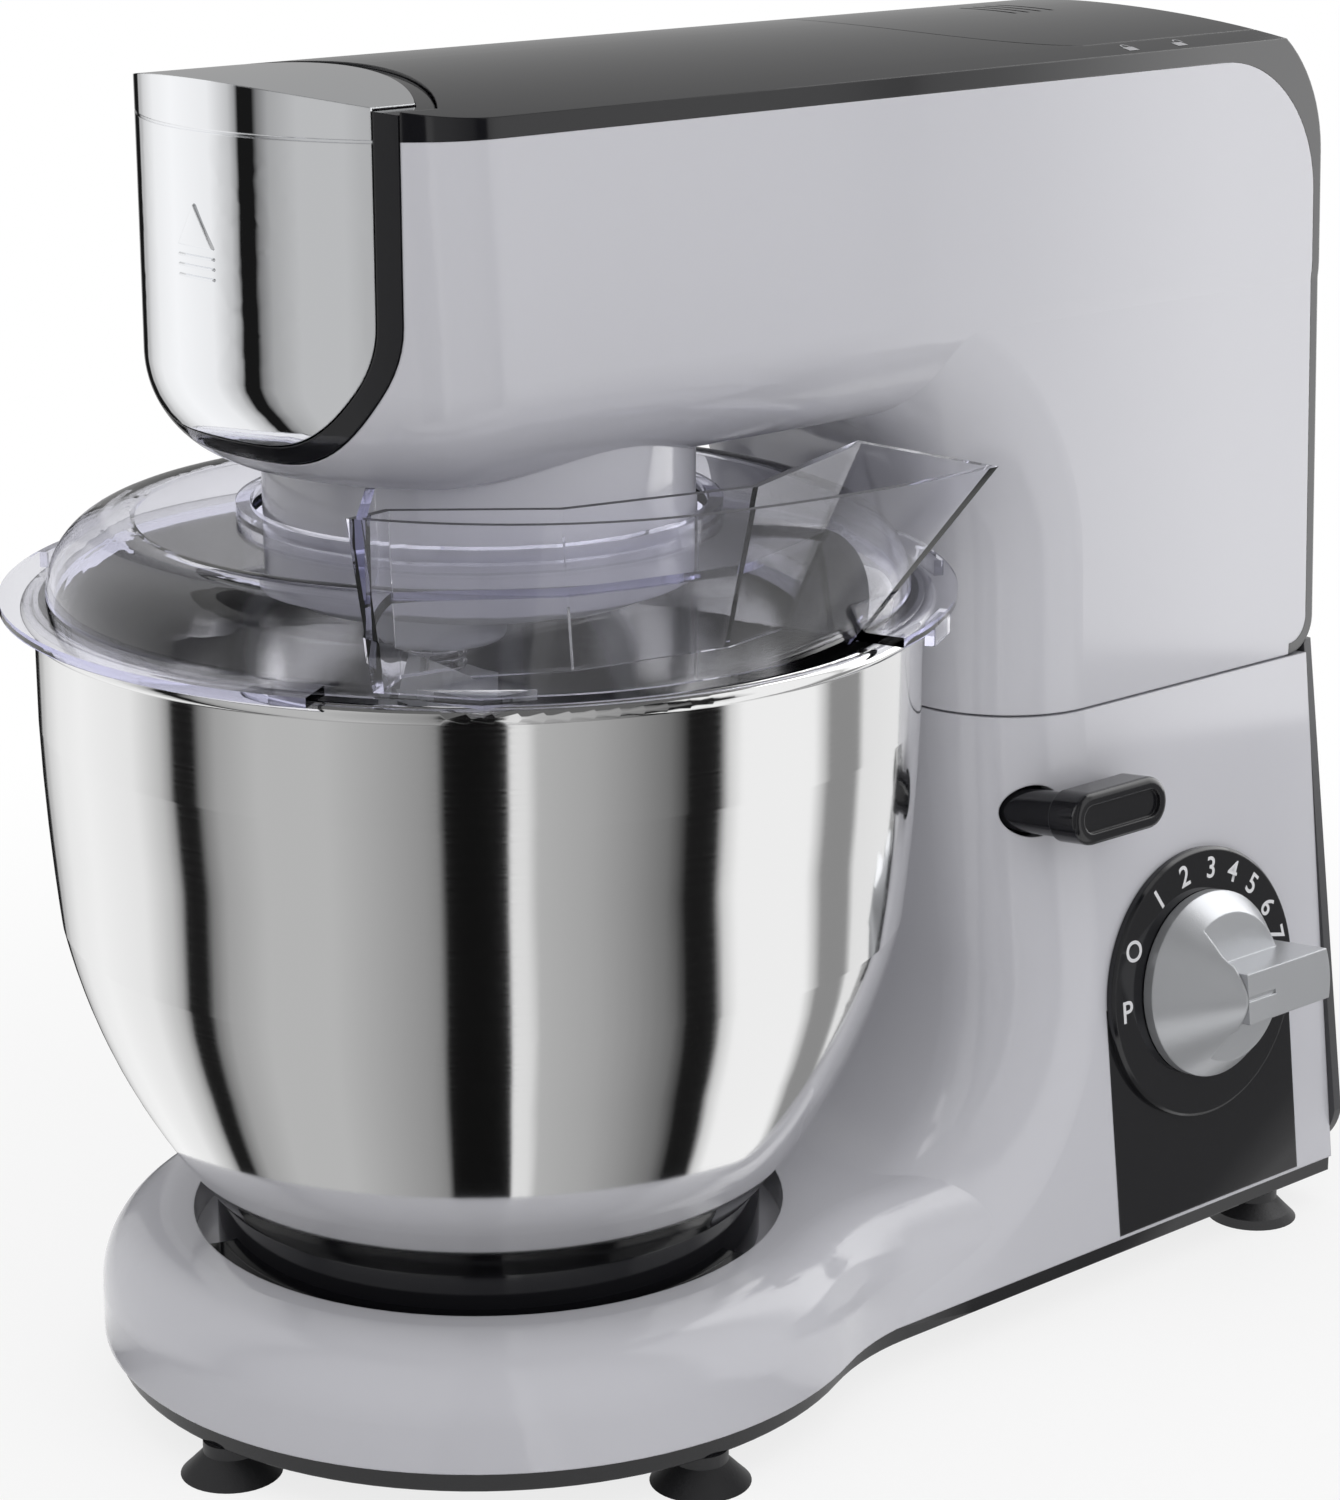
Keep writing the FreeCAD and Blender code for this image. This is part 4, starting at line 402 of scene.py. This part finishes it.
# Lid and pouring chute: clear moulded plastic, thin enough to look colourless face on and violet along
# its edges. The lid turns into place round the neck, and the chute stands in its window.
clear = finish("clear plastic", colour=(0.985, 0.985, 0.99), smooth=0.0, dull=0.02, cloud=15.0,
               grain=30.0, relief=0.004)
clear_tree = clear.node_tree
clear_shader = clear_tree.nodes["Principled BSDF"]
clear_shader.inputs["Transmission Weight"].default_value = 1.0
clear_shader.inputs["IOR"].default_value = 1.45
clear_output = clear_tree.nodes["Material Output"]
clear_light = clear_tree.nodes.new("ShaderNodeLightPath")
clear_pass = clear_tree.nodes.new("ShaderNodeBsdfTransparent")
clear_pass.inputs["Color"].default_value = (0.90, 0.90, 0.93, 1.0)
clear_mix = clear_tree.nodes.new("ShaderNodeMixShader")
clear_tree.links.new(clear_light.outputs["Is Shadow Ray"], clear_mix.inputs["Fac"])
clear_tree.links.new(clear_shader.outputs["BSDF"], clear_mix.inputs[1])
clear_tree.links.new(clear_pass.outputs["BSDF"], clear_mix.inputs[2])
clear_tree.links.new(clear_mix.outputs["Shader"], clear_output.inputs["Surface"])
clear_body = clear_tree.nodes.new("ShaderNodeVolumeAbsorption")
clear_body.inputs["Color"].default_value = (0.55, 0.55, 0.84, 1.0)
clear_body.inputs["Density"].default_value = 38.0
clear_tree.links.new(clear_body.outputs["Volume"], clear_output.inputs["Volume"])
dress(clear, "lid", "pouring_chute")

# Floor: a wide sheet of matt white paper, laid flat under the mixer.
# It keeps the mixer's shadow and runs out to plain white further off.
floor_half = 6.0
floor_corners = [(x * floor_half, y * floor_half, 0) for x, y in ((-1, -1), (1, -1), (1, 1), (-1, 1))]
shade_centre = (0.0, 0.155, 0.0)
shade_reach = 0.20
white_reach = 0.60
white_in_shade = 0.80
floor_mesh = bpy.data.meshes.new("floor")
floor_mesh.from_pydata(floor_corners, [], [(0, 1, 2, 3)])
floor = place("floor", floor_mesh)
paper = finish("floor paper", colour=(0.92, 0.92, 0.92), smooth=0.8, dull=0.9, cloud=3.0, relief=0.0,
               specular=0.1)
paper_tree = paper.node_tree


def seen_share(tree):
    """A socket that is 1 for rays from the camera, a reflection or clear plastic, and 0 for other light."""
    path = tree.nodes.new("ShaderNodeLightPath")
    straight_or_mirrored = tree.nodes.new("ShaderNodeMath")
    seen = tree.nodes.new("ShaderNodeMath")
    seen.use_clamp = True
    tree.links.new(path.outputs["Is Camera Ray"], straight_or_mirrored.inputs[0])
    tree.links.new(path.outputs["Is Glossy Ray"], straight_or_mirrored.inputs[1])
    tree.links.new(straight_or_mirrored.outputs["Value"], seen.inputs[0])
    tree.links.new(path.outputs["Is Transmission Ray"], seen.inputs[1])
    return seen.outputs["Value"]


paper_place = paper_tree.nodes.new("ShaderNodeTexCoord")
paper_reach = paper_tree.nodes.new("ShaderNodeVectorMath")
paper_reach.operation = "DISTANCE"
paper_reach.inputs[1].default_value = shade_centre
paper_fade = paper_tree.nodes.new("ShaderNodeMapRange")
paper_fade.interpolation_type = "SMOOTHSTEP"
paper_fade.inputs["From Min"].default_value = shade_reach
paper_fade.inputs["From Max"].default_value = white_reach
paper_fade.inputs["To Min"].default_value = white_in_shade
paper_share = paper_tree.nodes.new("ShaderNodeMath")
paper_share.operation = "MULTIPLY"
paper_white = paper_tree.nodes.new("ShaderNodeEmission")
paper_mix = paper_tree.nodes.new("ShaderNodeMixShader")
paper_tree.links.new(paper_place.outputs["Object"], paper_reach.inputs[0])
paper_tree.links.new(paper_reach.outputs["Value"], paper_fade.inputs["Value"])
paper_tree.links.new(seen_share(paper_tree), paper_share.inputs[0])
paper_tree.links.new(paper_fade.outputs["Result"], paper_share.inputs[1])
paper_tree.links.new(paper_share.outputs["Value"], paper_mix.inputs["Fac"])
paper_tree.links.new(paper_tree.nodes["Principled BSDF"].outputs["BSDF"], paper_mix.inputs[1])
paper_tree.links.new(paper_white.outputs["Emission"], paper_mix.inputs[2])
paper_tree.links.new(paper_mix.outputs["Shader"], paper_tree.nodes["Material Output"].inputs["Surface"])
floor_mesh.materials.append(paper)

# Surround: the white walls of the studio, which give even pale light from everywhere.
# The camera, reflections and the clear lid show them as plain white.
surround = bpy.data.worlds.new("studio surround")
bpy.context.scene.world = surround
surround.use_nodes = True
surround_tree = surround.node_tree
surround_light = surround_tree.nodes["Background"]
surround_light.inputs["Color"].default_value = (1.0, 1.0, 1.0, 1.0)
surround_light.inputs["Strength"].default_value = 0.55
surround_seen = surround_tree.nodes.new("ShaderNodeBackground")
surround_seen.inputs["Color"].default_value = (1.0, 1.0, 1.0, 1.0)
surround_seen.inputs["Strength"].default_value = 1.0
surround_mix = surround_tree.nodes.new("ShaderNodeMixShader")
surround_output = surround_tree.nodes["World Output"]
surround_tree.links.new(seen_share(surround_tree), surround_mix.inputs["Fac"])
surround_tree.links.new(surround_light.outputs["Background"], surround_mix.inputs[1])
surround_tree.links.new(surround_seen.outputs["Background"], surround_mix.inputs[2])
surround_tree.links.new(surround_mix.outputs["Shader"], surround_output.inputs["Surface"])

# Lamps: two soft boxes with cloth fronts, aimed at the middle of the mixer.
# A wide one hangs overhead and a smaller one stands on the dial's side.
lamp_target = Vector((0.0, 0.15, 0.15))


def soft_box(name, spot, width, height, power):
    """A rectangular lamp aimed at the mixer."""
    lamp = bpy.data.lights.new(name, "AREA")
    lamp.shape = "RECTANGLE"
    lamp.size = width
    lamp.size_y = height
    lamp.energy = power
    box = place(name, lamp)
    box.location = spot
    box.rotation_euler = (lamp_target - Vector(spot)).to_track_quat("-Z", "Y").to_euler()


soft_box("overhead box", spot=(0.2, -0.15, 1.9), width=2.2, height=2.2, power=11.0)
soft_box("side box", spot=(2.0, 0.55, 0.9), width=1.0, height=1.6, power=6.0)

# Cards: glowing sheets that paint reflections. A ring close round the bowl glows from white to black by
# azimuth and is folded on to the table, as a studio stands cards, to draw painted reflection bands on
# bright metal. A brighter glowing sheet hangs inside it on the dial's side and a dim one overhead. They
# light nothing and cast no shadow. They show only in reflections, and the dim one in the clear lid too.
card_radius = 0.45
card_height = 0.75
card_step = 3.0
ring_inner_radius = 0.1015
ring_inner_level = 0.014
table_radius = 0.165
table_level = 0.002
ring_profile = ((ring_inner_radius, ring_inner_level), (table_radius, table_level),
                (card_radius, table_level), (card_radius, card_height))
# Glow of the ring by azimuth: its light and dark stops paint the reflection bands on the bowl and the nose
# cap.
ring_reflection_glow = (
    (-180, 0.50), (-176, 0.70), (-165, 0.95), (-150, 1.05), (-128, 0.95), (-118, 0.60), (-115, 0.35),
    (-113.5, 0.01), (-107.5, 0.01), (-105.5, 0.22), (-101, 0.42), (-90, 0.56), (-74, 0.56), (-62, 0.44),
    (-52, 0.34), (-49, 0.28), (-47.3, 0.006), (-33.8, 0.006), (-33, 0.90), (-29.5, 0.85), (-27, 0.52),
    (-15, 0.44), (-6, 0.33), (3, 0.20), (6, 0.10), (8, 0.01), (15.5, 0.01), (18, 0.75), (22, 1.05),
    (44, 1.05), (48, 0.60), (50, 0.30), (61, 0.30), (64, 0.90), (98, 0.95), (102, 0.36), (163, 0.36),
    (166, 0.01), (175, 0.01), (177, 0.50), (180, 0.50),
)
hung_radius = 0.44
hung_level = 0.12
hung_profile = ((hung_radius, hung_level), (hung_radius, card_height))
# The hung sheet glows brighter than white and paints a bright reflection on the dial's side, growing
# brighter towards the back.
hung_reflection_glow = ((48, 1.0), (52, 1.3), (58, 2.6), (61, 3.1), (100, 3.1))
roof_level = 1.1
roof_inner_radius = 0.02
roof_outer_radius = 0.9
# The roof sheet's dim glow paints a dark reflection from overhead on the black top, and shows in the clear
# lid.
roof_reflection_level = 0.14
roof_profile = ((roof_inner_radius, roof_level), (roof_outer_radius, roof_level))
roof_reflection_glow = ((-180, roof_reflection_level), (180, roof_reflection_level))


def painted_reflection_card(name, profile, glow_stops, in_lid=False):
    """A glowing sheet for painted reflections, bent round the bowl's axis along a profile of reach and
    level, with its glow set by azimuth.
    """
    stops = []
    for (start, dark), (stop, light) in zip(glow_stops, glow_stops[1:]):
        steps = max(1, math.ceil((stop - start) / card_step))
        for k in range(steps):
            stops.append((start + (stop - start) * k / steps, dark + (light - dark) * k / steps))
    stops.append(glow_stops[-1])
    points = []
    levels = []
    for reach, level in profile:
        for degrees, shade in stops:
            turn = math.radians(degrees)
            points.append((reach * math.cos(turn), bowl_axis.y + reach * math.sin(turn), level))
            levels.append(shade)
    count = len(stops)
    faces = [[row * count + k + corner for corner in (0, 1, count + 1, count)]
             for row in range(len(profile) - 1) for k in range(count - 1)]
    mesh = bpy.data.meshes.new(name)
    mesh.from_pydata(points, [], faces)
    tone = mesh.attributes.new("shade", "FLOAT", "POINT")
    tone.data.foreach_set("value", levels)
    paint = bpy.data.materials.new(name)
    paint.use_nodes = True
    tree = paint.node_tree
    tree.nodes.remove(tree.nodes["Principled BSDF"])
    reading = tree.nodes.new("ShaderNodeAttribute")
    reading.attribute_name = "shade"
    glow = tree.nodes.new("ShaderNodeEmission")
    tree.links.new(reading.outputs["Fac"], glow.inputs["Strength"])
    tree.links.new(glow.outputs["Emission"], tree.nodes["Material Output"].inputs["Surface"])
    mesh.materials.append(paint)
    card = place(name, mesh)
    card.visible_camera = False
    card.visible_diffuse = False
    card.visible_shadow = False
    card.visible_transmission = in_lid


painted_reflection_card("ring_reflection_card", ring_profile, ring_reflection_glow)
painted_reflection_card("hung_reflection_card", hung_profile, hung_reflection_glow)
painted_reflection_card("roof_reflection_card", roof_profile, roof_reflection_glow, in_lid=True)

# Camera: a long lens at the photograph's view, from the right of the nose and a little above.
# Its turn, lift, place and lens come from a fit to the bowl's round edges and the upright ones.
camera_data = bpy.data.cameras.new("camera")
camera_data.sensor_width = 36.0
camera_data.lens = 90.53
camera = place("camera", camera_data)
camera_turn = math.radians(48.2728)
camera_lift = math.radians(16.0911)
camera_spot = Vector((0.71290, -0.48167, 0.42858))
camera_right = Vector((math.cos(camera_turn), math.sin(camera_turn), 0))
camera_back = Vector((math.sin(camera_turn) * math.cos(camera_lift),
                      -math.cos(camera_turn) * math.cos(camera_lift),
                      math.sin(camera_lift)))
camera_up = camera_back.cross(camera_right)
camera_axes = Matrix((camera_right, camera_up, camera_back)).transposed().to_4x4()
camera.matrix_world = Matrix.Translation(camera_spot) @ camera_axes
bpy.context.scene.camera = camera

# Picture: colours are shown as they are written.
bpy.context.scene.view_settings.view_transform = "Standard"
